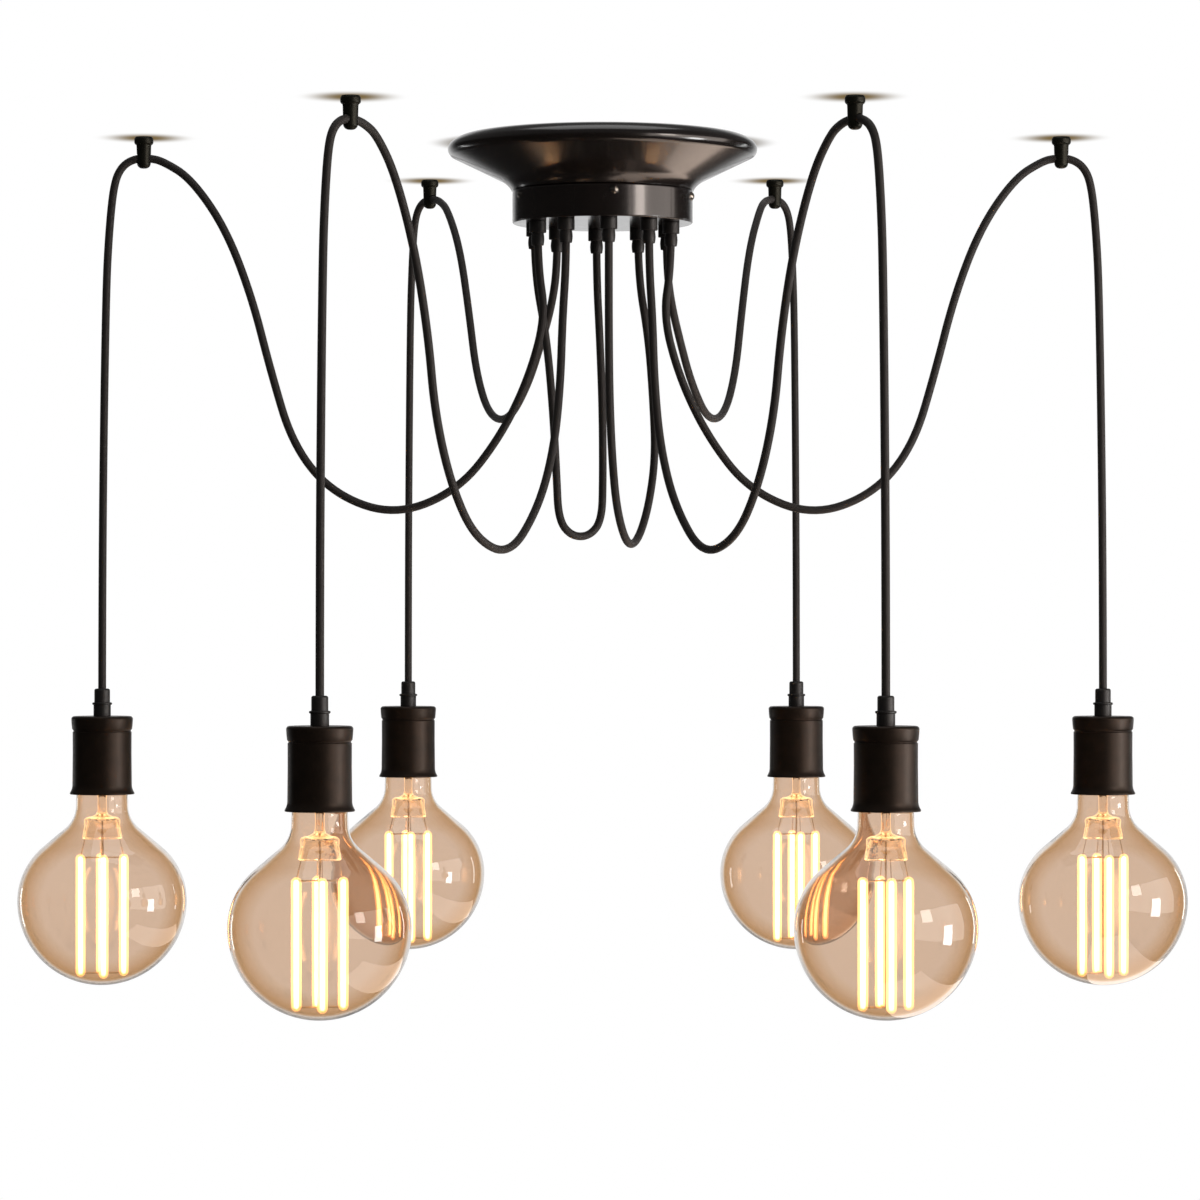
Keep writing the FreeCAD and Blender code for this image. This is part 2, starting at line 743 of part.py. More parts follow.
def outlet_start(index):
    """The end of a cord inside its grip."""
    x, y = outlet_place(index)
    return FreeCAD.Vector(x.number, y.number, -(CUP_FLOOR + size("cord_start")).number)


def swag_points(station):
    """The way of one lamp's cord from its outlet, through its hook, to just above its swing point."""
    pair, _, _, outlet = STATIONS[station]
    hook = FreeCAD.Vector(*[value.number for value in hook_place(station)], 0)
    out = FreeCAD.Vector(*[value.number for value in heading(station)], 0)
    start = outlet_start(outlet)
    across = FreeCAD.Vector(start.x, start.y, 0) - hook
    points = [start]
    points += [hook + across * share - Z_AXIS * depth for share, depth in SWAGS[pair]]
    points += [hook + out * reach - Z_AXIS * depth for reach, depth in OVER_HOOK]
    end = size("pivot_depth") - size("cord_radius") - size("cord_gap")
    x, y = lamp_place(station)
    return points + [FreeCAD.Vector(x.number, y.number, -end.number)]


def build_cords():
    for station in STATIONS:
        cord(f"swag_{station}", swag_points(station))
    for label, (first, last, points) in LOOPS.items():
        between = [FreeCAD.Vector(*point) for point in points]
        cord(label, [outlet_start(first), *between, outlet_start(last)])


def at_lamp(station, thing):
    """Hang a piece that is drawn from the holder's lip on a station's lamp axis."""
    x, y = lamp_place(station)
    return place(thing, x, y, -size("lip_depth"))


def build_drop(station):
    """The straight stretch of cord above a lamp, round-ended at the point that it swings about."""
    radius = size("cord_radius")
    top = size("lip_depth") - size("pivot_depth")
    bottom = size("holder_height") + size("holder_grip_height") - size("holder_cord_depth")
    drop = turned(f"drop_{station}", [
        (ZERO, bottom),
        (radius, bottom),
        (radius, top),
        (ZERO, top + radius, radius),
    ])
    keep(f"drop_{station}", at_lamp(station, drop))


def build_holder(station):
    outer, wall, tall = size("holder_radius"), size("holder_wall"), size("holder_height")
    roof, flare, lip = tall - size("holder_roof"), size("holder_lip_flare"), size("holder_lip_height")
    bead, edge = outer + size("holder_bead"), size("holder_edge_radius")
    bead_start = tall - size("holder_bead_height")
    groove_start = bead_start - size("holder_groove_height")
    groove = outer - size("holder_groove")
    flare_bow = (lip * lip + flare * flare) / (flare * 2)
    nipple, gap = size("nipple_radius"), size("slip_gap")
    shell = turned(f"holder_shell_{station}", [
        (outer + flare - wall, ZERO),
        (outer + flare, ZERO),
        (outer, lip, -flare_bow),
        (outer, groove_start),
        (groove, groove_start + size("holder_groove_height") / 2),
        (bead, bead_start),
        (bead, tall - edge),
        (bead - edge, tall, edge),
        (nipple + gap, tall),
        (nipple + gap, roof),
        (outer - wall, roof),
        (outer - wall, lip),
    ])
    keep(f"holder_shell_{station}", at_lamp(station, shell))

    bore = size("cord_radius") + size("cord_gap")
    foot, foot_top = size("holder_grip_base_radius"), tall + size("holder_grip_base_height")
    flange_top, top = foot_top + size("holder_grip_flange_height"), tall + size("holder_grip_height")
    neck, soft = size("holder_grip_top_radius"), size("holder_grip_top_edge")
    grip = turned(f"holder_grip_{station}", [
        (bore, tall - size("nipple_height")),
        (nipple, tall - size("nipple_height")),
        (nipple, tall),
        (foot, tall),
        (foot, foot_top),
        (size("holder_grip_flange_radius"), foot_top),
        (size("holder_grip_flange_radius"), flange_top),
        (neck, flange_top),
        (neck, top - soft),
        (neck - soft, top, soft),
        (bore, top),
    ])
    keep(f"holder_grip_{station}", at_lamp(station, grip))

    body, cavity = outer - wall - size("insert_gap"), size("cap_radius") + size("turn_gap")
    bottom, ceiling = size("insert_bottom"), size("insert_cavity_top")
    seat = tall - size("nipple_height") - gap
    insert = turned(f"holder_insert_{station}", [
        (cavity + size("insert_mouth_flare"), bottom),
        (body, bottom),
        (body, roof),
        (nipple + gap, roof),
        (nipple + gap, seat),
        (bore, seat),
        (bore, ceiling),
        (cavity, ceiling),
        (cavity, bottom + size("insert_mouth_height")),
    ])
    keep(f"holder_insert_{station}", at_lamp(station, insert))


def globe_outline(inset):
    """The globe's wall from its lowest point up to its throat, at a depth inside the outer face."""
    angle, depth = size("globe_shoulder_angle"), size("globe_depth")
    radius = size("globe_radius") - inset
    shoulder = size("globe_shoulder_radius") - inset
    blend, neck = size("globe_blend_radius") + inset, size("globe_neck_radius") - inset
    shoulder_x = size("globe_radius") - size("globe_shoulder_radius") + shoulder * cosine(angle)
    shoulder_z = shoulder * sine(angle) - depth
    blend_x = neck + blend - blend * cosine(angle)
    blend_z = shoulder_z + (shoulder_x - blend_x) * cosine(angle) / sine(angle)
    return [
        (ZERO, -(depth + radius)),
        (radius, -depth, radius),
        (shoulder_x, shoulder_z, shoulder),
        (blend_x, blend_z),
        (neck, blend_z + blend * sine(angle), -blend),
        (size("globe_throat_radius") - inset, size("globe_throat_height")),
        (size("cap_radius") - size("cap_wall") - size("slip_gap") - inset, size("cap_rim")),
        (size("cap_radius") - size("cap_wall") - size("slip_gap") - inset, size("globe_rim")),
    ]


def reversed_outline(outline):
    """The same outline walked the other way, with each arc's radius at its new far end."""
    radii = [corner[2] if len(corner) == 3 else None for corner in outline]
    steps = list(zip(outline, [*radii[1:], None]))[::-1]
    return [corner[:2] if radius is None else (*corner[:2], -radius) for corner, radius in steps]


def build_bulb(station):
    inside = reversed_outline(globe_outline(size("globe_wall")))
    glass = turned(f"bulb_glass_{station}", globe_outline(ZERO) + inside)
    keep(f"bulb_glass_{station}", at_lamp(station, glass))

    radius, inner, rim = size("cap_radius"), size("cap_radius") - size("cap_wall"), size("cap_rim")
    crown, shoulder = size("cap_crown"), size("cap_shoulder")
    tip = size("insert_cavity_top") - size("turn_gap")
    cap = turned(f"bulb_cap_{station}", [
        (inner, rim),
        (radius, rim),
        (radius, shoulder),
        (size("cap_crown_radius"), crown),
        (size("cap_tip_radius"), crown),
        (size("cap_tip_radius"), tip),
        (ZERO, tip),
        (ZERO, shoulder - size("cap_wall")),
        (inner, shoulder - size("cap_wall")),
    ])
    keep(f"bulb_cap_{station}", at_lamp(station, cap))

    foot = inner - size("slip_gap") * 2 - size("globe_wall")
    top, thin, stem = size("globe_rim"), size("stem_bell_wall"), size("stem_radius")
    bell_top, bell_bottom = size("stem_bell_top"), size("stem_bell_bottom")
    mouth, wire = size("stem_bell_radius"), size("wire_radius")
    mount = turned(f"stem_{station}", [
        (ZERO, -bell_top - thin),
        (mouth - thin, -bell_bottom),
        (mouth, -bell_bottom),
        (mouth, thin * 2 - bell_bottom),
        (stem, -bell_top),
        (stem, size("stem_waist_height")),
        (foot, top - size("stem_foot_thickness")),
        (foot, top),
        (ZERO, top),
    ])
    high, low = -size("filament_top"), -size("filament_bottom")
    ring = size("filament_ring_radius")
    pieces = [mount, place(rod(f"stem_wire_{station}", wire, bell_top - low), z=low - wire)]
    for index, angle in enumerate(angles_round(size("filament_count"), size("filament_turn"))):
        filament = rod(f"filament_{station}_{index}", size("filament_radius"), high - low)
        pieces.append(place_round(filament, angle, ring, low))
        for level, height in (("high", high), ("low", low)):
            arm = rod(f"arm_{level}_{station}_{index}", wire, ring)
            pieces.append(place_round(arm, angle, ZERO, height, lay=FACING_OUT))
    keep(f"bulb_filaments_{station}", at_lamp(station, joined(f"bulb_filaments_{station}", pieces)))


def check_objects():
    """Stop if any object failed or any sub-part isn't a sound solid."""
    for thing in doc.Objects:
        if "Invalid" in thing.State or "Error" in thing.State:
            raise RuntimeError(f"{thing.Label} failed: {thing.State}")
    for label, thing in parts.items():
        if thing.Shape.isNull() or not thing.Shape.isValid() or not thing.Shape.Solids:
            raise RuntimeError(f"{label} has no sound solid")


def write_parts():
    os.makedirs("parts", exist_ok=True)
    for label, thing in parts.items():
        thing.Shape.exportStep(os.path.join("parts", f"{label}.step"))


build_flare()
build_cup()
build_cup_screws()
build_ceiling_plate()
build_terminal_block()
build_canopy_grips()
build_hooks()
build_cords()
for name in STATIONS:
    build_drop(name)
    build_holder(name)
    build_bulb(name)
doc.recompute()
check_objects()
write_parts()
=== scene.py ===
"""Looks of the spider chandelier: lacquered canopy, braided cords, bronze holders and glass globes.

Metres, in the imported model's own frame: +Z up into the ceiling, -Y towards the camera.
"""

import json
import math

import bmesh
import bpy
from mathutils import Matrix, Quaternion, Vector

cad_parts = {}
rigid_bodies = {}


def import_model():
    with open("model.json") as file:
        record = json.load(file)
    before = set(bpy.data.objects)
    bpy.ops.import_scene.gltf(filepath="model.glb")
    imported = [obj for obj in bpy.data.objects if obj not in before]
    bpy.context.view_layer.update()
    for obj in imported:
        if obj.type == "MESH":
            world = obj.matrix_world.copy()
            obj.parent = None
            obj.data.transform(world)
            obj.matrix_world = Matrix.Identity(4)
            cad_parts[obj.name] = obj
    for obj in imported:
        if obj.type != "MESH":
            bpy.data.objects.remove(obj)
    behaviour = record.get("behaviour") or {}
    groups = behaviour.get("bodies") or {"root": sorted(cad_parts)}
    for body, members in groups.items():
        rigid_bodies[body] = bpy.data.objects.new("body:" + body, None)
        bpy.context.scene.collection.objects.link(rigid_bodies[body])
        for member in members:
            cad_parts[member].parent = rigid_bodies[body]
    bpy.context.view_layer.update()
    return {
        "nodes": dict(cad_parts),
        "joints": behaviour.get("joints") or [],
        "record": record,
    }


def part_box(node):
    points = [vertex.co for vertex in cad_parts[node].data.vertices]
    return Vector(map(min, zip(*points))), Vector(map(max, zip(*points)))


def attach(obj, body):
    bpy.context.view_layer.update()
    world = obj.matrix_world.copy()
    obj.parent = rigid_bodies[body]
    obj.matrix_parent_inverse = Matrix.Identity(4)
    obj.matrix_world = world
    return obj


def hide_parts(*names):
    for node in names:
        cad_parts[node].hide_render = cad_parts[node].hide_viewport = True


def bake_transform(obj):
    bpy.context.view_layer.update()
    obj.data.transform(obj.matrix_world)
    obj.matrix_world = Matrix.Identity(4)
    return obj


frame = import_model()

MM = 0.001
FULL_TURN = math.tau
QUARTER_TURN = math.radians(90)
SHARP_ANGLE = math.radians(38)
WHITE = (1, 1, 1, 1)

# The camera that took the photograph: level, far away and a little below the canopy.
IMAGE_PIXELS = 1200
FOCAL_PIXELS = 4400
AXIS_PIXEL = (600, 614)
SENSOR_MM = 36
CAMERA_PLACE = (-0.0019, -3.271, -0.3546)

# The studio: where its lights point, its floor, and how far behind a thing its shade lies.
LIGHT_TARGET = Vector((0, 0, -0.25))
FLOOR_DEPTH = 1.3
FLOOR_RADIUS = 3.5
SHADE_SHIFT = Vector((0, 12 * MM, 0))

# The stations, each a hook with its lamp: its pair, its outlet in the canopy and its cord's length.
STATIONS = {
    "side_left": ("side", 8, 1.026),
    "side_right": ("side", 2, 1.024),
    "front_left": ("front", 9, 1.060),
    "front_right": ("front", 1, 1.060),
    "back_left": ("back", 6, 0.897),
    "back_right": ("back", 3, 0.908),
}

# The cord outlets round the cup's floor.
OUTLET_COUNT = 10
OUTLET_TURN = math.radians(5)
OUTLET_PITCH = 52 * MM

# The screws round the cup, the bores across the hooks, and the filaments round each lamp's middle.
CUP_SCREWS = 5
CUP_SCREW_TURN = math.radians(7.2)
CUP_SCREW_CIRCLE = 67 * MM
HOOK_BORE_RADIUS = 3.5 * MM
HOOK_BORE_DEPTH = 16 * MM
FILAMENTS = 4
FILAMENT_TURN = math.radians(10)

# The cords: their radius, where they start, and the fineness of their curve.
CORD_RADIUS = 3 * MM
CORD_START_DEPTH = 67.8 * MM
CORD_STEPS = 9

# The swags' routes: the share of the way from hook to outlet, and the depth below the ceiling.
SWAGS = {
    "side": [
        (1, 0.098), (1.02, 0.134), (0.978, 0.180), (0.905, 0.224), (0.8, 0.263), (0.64, 0.282),
        (0.483, 0.266), (0.38, 0.230), (0.323, 0.174), (0.275, 0.119), (0.208, 0.068), (0.12, 0.031),
    ],
    "front": [
        (1, 0.098), (0.982, 0.138), (0.972, 0.186), (0.94, 0.234), (0.865, 0.277), (0.725, 0.313),
        (0.56, 0.301), (0.45, 0.264), (0.375, 0.214), (0.345, 0.160), (0.285, 0.101), (0.195, 0.049),
        (0.113, 0.024),
    ],
    "back": [
        (1, 0.094), (0.96, 0.122), (0.88, 0.150), (0.785, 0.179), (0.64, 0.205), (0.49, 0.200),
        (0.385, 0.165), (0.325, 0.114), (0.252, 0.062), (0.15, 0.028),
    ],
}

# Over the hook and down to the lamp: the distance outwards from the hook's axis, and the depth.
OVER_HOOK = [
    (-0.014, 0.018), (-0.0045, 0.0159), (0.005, 0.0159), (0.0136, 0.0196), (0.0193, 0.027), (0.0222, 0.0374),
    (0.0242, 0.0525), (0.0262, 0.077), (0.0278, 0.108), (0.0294, 0.190), (0.0306, 0.290), (0.031, 0.390),
    (0.031, 0.420),
]

# The short loops: their first and last outlet, their length, and the points between.
LOOPS = {
    "loop_left": (5, 7, 0.482, [
        (-0.0045, 0.0518, -0.100), (-0.002, 0.0516, -0.147), (0, 0.051, -0.200),
        (0.0003, 0.0508, -0.252), (-0.0005, 0.0505, -0.284), (-0.010, 0.043, -0.2962),
        (-0.0235, 0.0323, -0.2962), (-0.033, 0.0248, -0.284), (-0.0344, 0.0246, -0.252),
        (-0.0372, 0.0234, -0.200), (-0.042, 0.0194, -0.147), (-0.0507, 0.0117, -0.100),
    ]),
    "loop_right": (0, 4, 0.518, [
        (0.0045, -0.0518, -0.100), (0.0045, -0.0545, -0.146), (0.005, -0.056, -0.196),
        (0.007, -0.0525, -0.242), (0.0105, -0.039, -0.279), (0.018, -0.014, -0.304),
        (0.026, 0.013, -0.301), (0.0345, 0.034, -0.275), (0.040, 0.045, -0.236),
        (0.038, 0.049, -0.190), (0.0345, 0.0485, -0.145), (0.0268, 0.0446, -0.100),
    ]),
}


def linear(hex_colour):
    """An sRGB hex value as a linear RGBA colour."""
    shares = [int(hex_colour[i:i + 2], 16) / 255 for i in (1, 3, 5)]
    return (*[s / 12.92 if s <= 0.04045 else ((s + 0.055) / 1.055) ** 2.4 for s in shares], 1)


def add_node(tree, kind, inputs=None, **settings):
    """Add a shader node, apply its settings, and set or link its inputs."""
    node = tree.nodes.new(f"ShaderNode{kind}")
    for name, value in settings.items():
        setattr(node, name, value)
    for name, value in (inputs or {}).items():
        if isinstance(value, bpy.types.NodeSocket):
            tree.links.new(value, node.inputs[name])
        else:
            node.inputs[name].default_value = value
    return node


def new_material(name):
    """An empty material and its Principled shader."""
    material = bpy.data.materials.new(name)
    material.use_nodes = True
    return material, material.node_tree, material.node_tree.nodes["Principled BSDF"]


def per_metre(size_mm):
    """A texture's scale for features of that size."""
    return 1000 / size_mm


def drift(tree, size_mm, detail, place=None):
    """A noise value that drifts over features of that size."""
    place = place or add_node(tree, "TexCoord").outputs["Object"]
    noise = add_node(tree, "TexNoise", {"Vector": place, "Scale": per_metre(size_mm), "Detail": detail})
    return noise.outputs["Fac"]


def mottled(tree, dark, light, size_mm, detail=3):
    """A colour that drifts between two hex values over patches of that size."""
    patches = drift(tree, size_mm, detail)
    mix = add_node(tree, "MixRGB", {"Fac": patches, "Color1": linear(dark), "Color2": linear(light)})
    return mix.outputs["Color"]


def coloured(tree, shader, dark, light, size_mm, detail=3):
    """Give a shader a mottled base colour, and return that colour."""
    colour = mottled(tree, dark, light, size_mm, detail)
    tree.links.new(colour, shader.inputs["Base Color"])
    return colour


def eased(tree, value, start, end, low=0.0, high=1.0, curve="SMOOTHSTEP"):
    """A value that eases from low to high while another one runs from start to end."""
    step = add_node(tree, "MapRange", {"Value": value, "From Min": start, "From Max": end,
                                       "To Min": low, "To Max": high}, interpolation_type=curve)
    return step.outputs["Result"]


def seen_rays(tree):
    """1 for the rays that the camera sees, straight or through glass, and 0 for all others."""
    path = add_node(tree, "LightPath")
    rays = {0: path.outputs["Is Camera Ray"], 1: path.outputs["Is Transmission Ray"]}
    return add_node(tree, "Math", rays, operation="MAXIMUM").outputs["Value"]


def bumped(tree, shader, height, depth_mm):
    """Give a shader a bump of that depth from a height socket."""
    bump = add_node(tree, "Bump", {"Height": height, "Distance": depth_mm * MM, "Strength": 1.0})
    tree.links.new(bump.outputs["Normal"], shader.inputs["Normal"])


def roughened(tree, shader, factor, low, high):
    """Let the roughness drift between two values with a factor socket."""
    spread = add_node(tree, "MapRange", {"Value": factor, "To Min": low, "To Max": high})
    tree.links.new(spread.outputs["Result"], shader.inputs["Roughness"])


def preset(shader, values):
    """Set a shader's own uniform values."""
    for name, value in values.items():
        shader.inputs[name].default_value = value


def stoved_lacquer():
    """Stoved lacquer on spun steel: nearly black brown, glossy, with a faint orange peel."""
    material, tree, shader = new_material("stoved_lacquer")
    coloured(tree, shader, "#0c0806", "#140e0b", size_mm=30)
    bumped(tree, shader, drift(tree, 2.2, detail=1), depth_mm=0.012)
    roughened(tree, shader, drift(tree, 14, detail=4), 0.2, 0.3)
    preset(shader, {"Coat Weight": 0.6, "Coat Roughness": 0.12})
    return material


def oxidised_bronze(name, dark, light):
    """Satin oxidised or blackened bronze plate: a dark metal with fine turning lines round it."""
    material, tree, shader = new_material(name)
    coloured(tree, shader, dark, light, size_mm=9)
    place = add_node(tree, "TexCoord").outputs["Object"]
    squeezed = add_node(tree, "Mapping", {"Vector": place, "Scale": (0.02, 0.02, 1)}).outputs["Vector"]
    bumped(tree, shader, drift(tree, 0.5, detail=2, place=squeezed), depth_mm=0.01)
    roughened(tree, shader, drift(tree, 1.1, detail=4), 0.36, 0.5)
    preset(shader, {"Metallic": 0.7})
    return material


def moulded_nylon():
    """Black glass-filled nylon: matt, with the fine grain of its mould."""
    material, tree, shader = new_material("moulded_nylon")
    coloured(tree, shader, "#0f0d0c", "#191614", size_mm=4)
    grain = drift(tree, 0.4, detail=2)
    bumped(tree, shader, grain, depth_mm=0.02)
    roughened(tree, shader, grain, 0.42, 0.58)
    return material


def braided_rayon():
    """Braided rayon over round flex: two families of strands that cross, with a slight sheen.

    The tube's UV map holds the turn round the cord and the metres along it. The strands are
    drawn about twice as wide as real ones, so that they show.
    """
    material, tree, shader = new_material("braided_rayon")
    place = add_node(tree, "UVMap", uv_map="braid").outputs["UV"]
    split = add_node(tree, "SeparateXYZ", {"Vector": place})
    strands, pitch = 8, 11 * MM
    along = add_node(tree, "Math", {0: split.outputs["Y"], 1: strands / pitch}, operation="MULTIPLY")
    turn = add_node(tree, "Math", {0: split.outputs["X"], 1: strands}, operation="MULTIPLY")
    waves = []
    for way in ("ADD", "SUBTRACT"):
        phase = add_node(tree, "Math", {0: turn.outputs["Value"], 1: along.outputs["Value"]}, operation=way)
        swing = add_node(tree, "Math", {0: phase.outputs["Value"], 1: FULL_TURN}, operation="MULTIPLY")
        waves.append(add_node(tree, "Math", {0: swing.outputs["Value"]}, operation="SINE"))
    weave = add_node(tree, "Math", {0: waves[0].outputs["Value"], 1: waves[1].outputs["Value"]},
                     operation="MAXIMUM")
    level = add_node(tree, "MapRange", {"Value": weave.outputs["Value"], "From Min": -1.0})
    colour = add_node(tree, "MixRGB", {"Fac": level.outputs["Result"], "Color1": linear("#0f0b09"),
                                       "Color2": linear("#1b1512")})
    tree.links.new(colour.outputs["Color"], shader.inputs["Base Color"])
    bumped(tree, shader, level.outputs["Result"], depth_mm=0.12)
    preset(shader, {"Roughness": 0.62, "Sheen Weight": 0.1, "Sheen Roughness": 0.4})
    return material


def amber_glass():
    """Blown soda glass with a light amber coating: clear, smooth and warm.

    The coating looks deeper where the eye meets the wall at a slant. Near the rim a painted highlight makes a
    white band, and at the very edge a painted grey outline stands in for shade.
    """
    material, tree, shader = new_material("amber_glass")
    colour = mottled(tree, "#e8d6c6", "#ebdacb", size_mm=60, detail=1)
    slant = add_node(tree, "LayerWeight", {"Blend": 0.5}).outputs["Facing"]
    depth = add_node(tree, "ValToRGB", {"Fac": slant})
    # The white stops near the rim are a painted highlight; the last, grey stop is a painted outline of shade.
    stops = ((0.3, "#ffffff"), (0.6, "#ecd6b2"), (0.69, "#e9cea2"), (0.73, "#ffffff"), (0.84, "#ffffff"),
             (0.9, "#8d857d"))
    ramp = depth.color_ramp
    while len(ramp.elements) < len(stops):
        ramp.elements.new(0.5)
    for element, (position, hex_colour) in zip(ramp.elements, stops):
        element.position = position
        element.color = linear(hex_colour)
    # Painted highlight: the colour turns white in a band near the rim.
    rim = add_node(tree, "MapRange", {"Value": slant, "From Min": 0.7, "From Max": 0.73})
    plain = add_node(tree, "MixRGB", {"Fac": rim.outputs["Result"], "Color1": colour, "Color2": WHITE})
    whole = add_node(tree, "MixRGB", {"Fac": 1.0, "Color1": plain.outputs["Color"],
                                      "Color2": depth.outputs["Color"]}, blend_type="MULTIPLY")
    tree.links.new(whole.outputs["Color"], shader.inputs["Base Color"])
    bumped(tree, shader, drift(tree, 45, detail=1), depth_mm=0.15)
    preset(shader, {"Roughness": 0.0, "IOR": 1.5, "Transmission Weight": 1.0})
    return material


def stem_glass():
    """Drawn lead glass of the lamp's stem: clear, thick and rippled.

    Its edges carry a painted glow: where the eye meets the glass at a slant it gives off warm light of its
    own, in place of the filaments' light that it would gather.
    """
    material, tree, shader = new_material("stem_glass")
    coloured(tree, shader, "#fff0dc", "#fff7ea", size_mm=8)
    bumped(tree, shader, drift(tree, 5, detail=2), depth_mm=0.3)
    # Painted glow: the more the wall slants to the eye, the more warm light it gives off.
    slant = add_node(tree, "LayerWeight", {"Blend": 0.5}).outputs["Facing"]
    glow = add_node(tree, "MapRange", {"Value": slant, "From Min": 0.45, "To Max": 2.0})
    tree.links.new(glow.outputs["Result"], shader.inputs["Emission Strength"])
    preset(shader, {"Emission Color": linear("#ffcf94"), "Roughness": 0.02, "IOR": 1.55,
                    "Transmission Weight": 1.0})
    return material


def glowing_filament():
    """Coated filament at working heat: it gives off a warm white light."""
    material, tree, shader = new_material("glowing_filament")
    colour = coloured(tree, shader, "#ffdcae", "#ffeacb", size_mm=12)
    tree.links.new(colour, shader.inputs["Emission Color"])
    preset(shader, {"Emission Strength": 7})
    return material


def phosphor_coat():
    """Silicone with phosphor round a filament: a soft warm veil over the light inside it. On the wide coats
    it also gives a painted halo of light round the filament.
    """
    material, tree, shader = new_material("phosphor_coat")
    colour = coloured(tree, shader, "#ffd08c", "#ffdda6", size_mm=10)
    tree.links.new(colour, shader.inputs["Emission Color"])
    preset(shader, {"Emission Strength": 1.8, "Alpha": 0.4, "Roughness": 0.5})
    return material


def nickel_wire():
    """Drawn nickel-iron wire: a bright metal, warmed a little by heat."""
    material, tree, shader = new_material("nickel_wire")
    coloured(tree, shader, "#b59a72", "#d8c29a", size_mm=3)
    preset(shader, {"Metallic": 1.0, "Roughness": 0.25})
    return material


def nickelled_brass():
    """Nickel-plated brass of the screw cap: a pale bright metal."""
    material, tree, shader = new_material("nickelled_brass")
    coloured(tree, shader, "#b7a98c", "#cdc2aa", size_mm=6)
    roughened(tree, shader, drift(tree, 7, detail=4), 0.2, 0.4)
    preset(shader, {"Metallic": 1.0})
    return material


def oiled_steel():
    """Oiled steel of the cup's screws: a grey metal with a shine."""
    material, tree, shader = new_material("oiled_steel")
    coloured(tree, shader, "#86817b", "#9b958e", size_mm=2)
    preset(shader, {"Metallic": 1.0, "Roughness": 0.25})
    return material


def zinc_plate():
    """Zinc-plated sheet steel: pale grey metal with a cloudy passivated bloom."""
    material, tree, shader = new_material("zinc_plate")
    coloured(tree, shader, "#a9aaa6", "#c4c3b8", size_mm=18, detail=5)
    roughened(tree, shader, drift(tree, 6, detail=4), 0.3, 0.5)
    preset(shader, {"Metallic": 1.0})
    return material


def phenolic():
    """Moulded phenolic resin of the lamp socket: black, hard and half matt."""
    material, tree, shader = new_material("phenolic")
    coloured(tree, shader, "#141210", "#201c19", size_mm=3)
    flow = drift(tree, 2, detail=3)
    bumped(tree, shader, flow, depth_mm=0.02)
    roughened(tree, shader, flow, 0.35, 0.5)
    return material


def terminal_nylon():
    """Natural white nylon of the terminal block: faintly translucent and softly mottled."""
    material, tree, shader = new_material("terminal_nylon")
    coloured(tree, shader, "#dcd8cc", "#ece8de", size_mm=5)
    preset(shader, {"Roughness": 0.5, "Subsurface Weight": 0.1})
    return material


FINISHES = {
    "canopy_lacquer": stoved_lacquer(),
    "holder_bronze": oxidised_bronze("oxidised_bronze", "#1c150f", "#30241b"),
    "hook_bronze": oxidised_bronze("blackened_bronze", "#15150f", "#23231a"),
    "black_nylon": moulded_nylon(),
    "cord_braid": braided_rayon(),
    "clear_glass": amber_glass(),
    "filament_glass": stem_glass(),
    "filament_glow": glowing_filament(),
    "filament_coat": phosphor_coat(),
    "filament_wire": nickel_wire(),
    "lamp_cap": nickelled_brass(),
    "dark_screw": oiled_steel(),
    "zinc_plate": zinc_plate(),
    "black_phenolic": phenolic(),
    "white_nylon": terminal_nylon(),
}


def new_piece(name, mesh, finish, body, stands_for=()):
    """Turn a bmesh into a piece of the object that rides on a body."""
    data = bpy.data.meshes.new(name)
    mesh.to_mesh(data)
    mesh.free()
    data.shade_smooth()
    data.set_sharp_from_angle(angle=SHARP_ANGLE)
    data.materials.append(FINISHES[finish])
    piece = bpy.data.objects.new(name, data)
    bpy.context.scene.collection.objects.link(piece)
    if body:
        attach(piece, body)
    if stands_for:
        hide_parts(*stands_for)
    return piece


def arc(centre, radius, first, last, steps):
    """Points of an arc in the outline's plane, its angles in degrees from the outward direction."""
    angles = [math.radians(first + (last - first) * step / steps) for step in range(steps + 1)]
    return [(centre[0] + radius * math.cos(a), centre[1] + radius * math.sin(a)) for a in angles]


def spin_outline(mesh, outline, steps, closed=True):
    """Turn an outline of (radius, height) in millimetres round the upright axis."""
    verts = [mesh.verts.new((x * MM, 0, z * MM)) for x, z in outline]
    edges = [mesh.edges.new(pair) for pair in zip(verts, verts[1:])]
    if closed:
        edges.append(mesh.edges.new((verts[-1], verts[0])))
    bmesh.ops.spin(mesh, geom=verts + edges, cent=(0, 0, 0), axis=(0, 0, 1), angle=FULL_TURN,
                   steps=steps, use_merge=True)
    bmesh.ops.remove_doubles(mesh, verts=mesh.verts, dist=MM / 1000)
    bmesh.ops.dissolve_degenerate(mesh, edges=mesh.edges, dist=MM / 1000)
    bmesh.ops.recalc_face_normals(mesh, faces=mesh.faces)
    return mesh


def moved(mesh, place, turn=None):
    """Put a whole bmesh in its place."""
    matrix = Matrix.Translation(place) @ (turn or Matrix())
    bmesh.ops.transform(mesh, matrix=matrix, verts=mesh.verts)
    return mesh


def appended(mesh, other):
    """Add another bmesh to this one."""
    data = bpy.data.meshes.new("joining")
    other.to_mesh(data)
    other.free()
    mesh.from_mesh(data)
    bpy.data.meshes.remove(data)
    return mesh


def mount_place(name):
    """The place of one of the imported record's mounts."""
    return Vector(next(m for m in frame["record"]["mounts"] if m["name"] == name)["pos_m"])


def joint_of(name):
    """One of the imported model's joints."""
    return next(j for j in frame["joints"] if j["name"] == name)


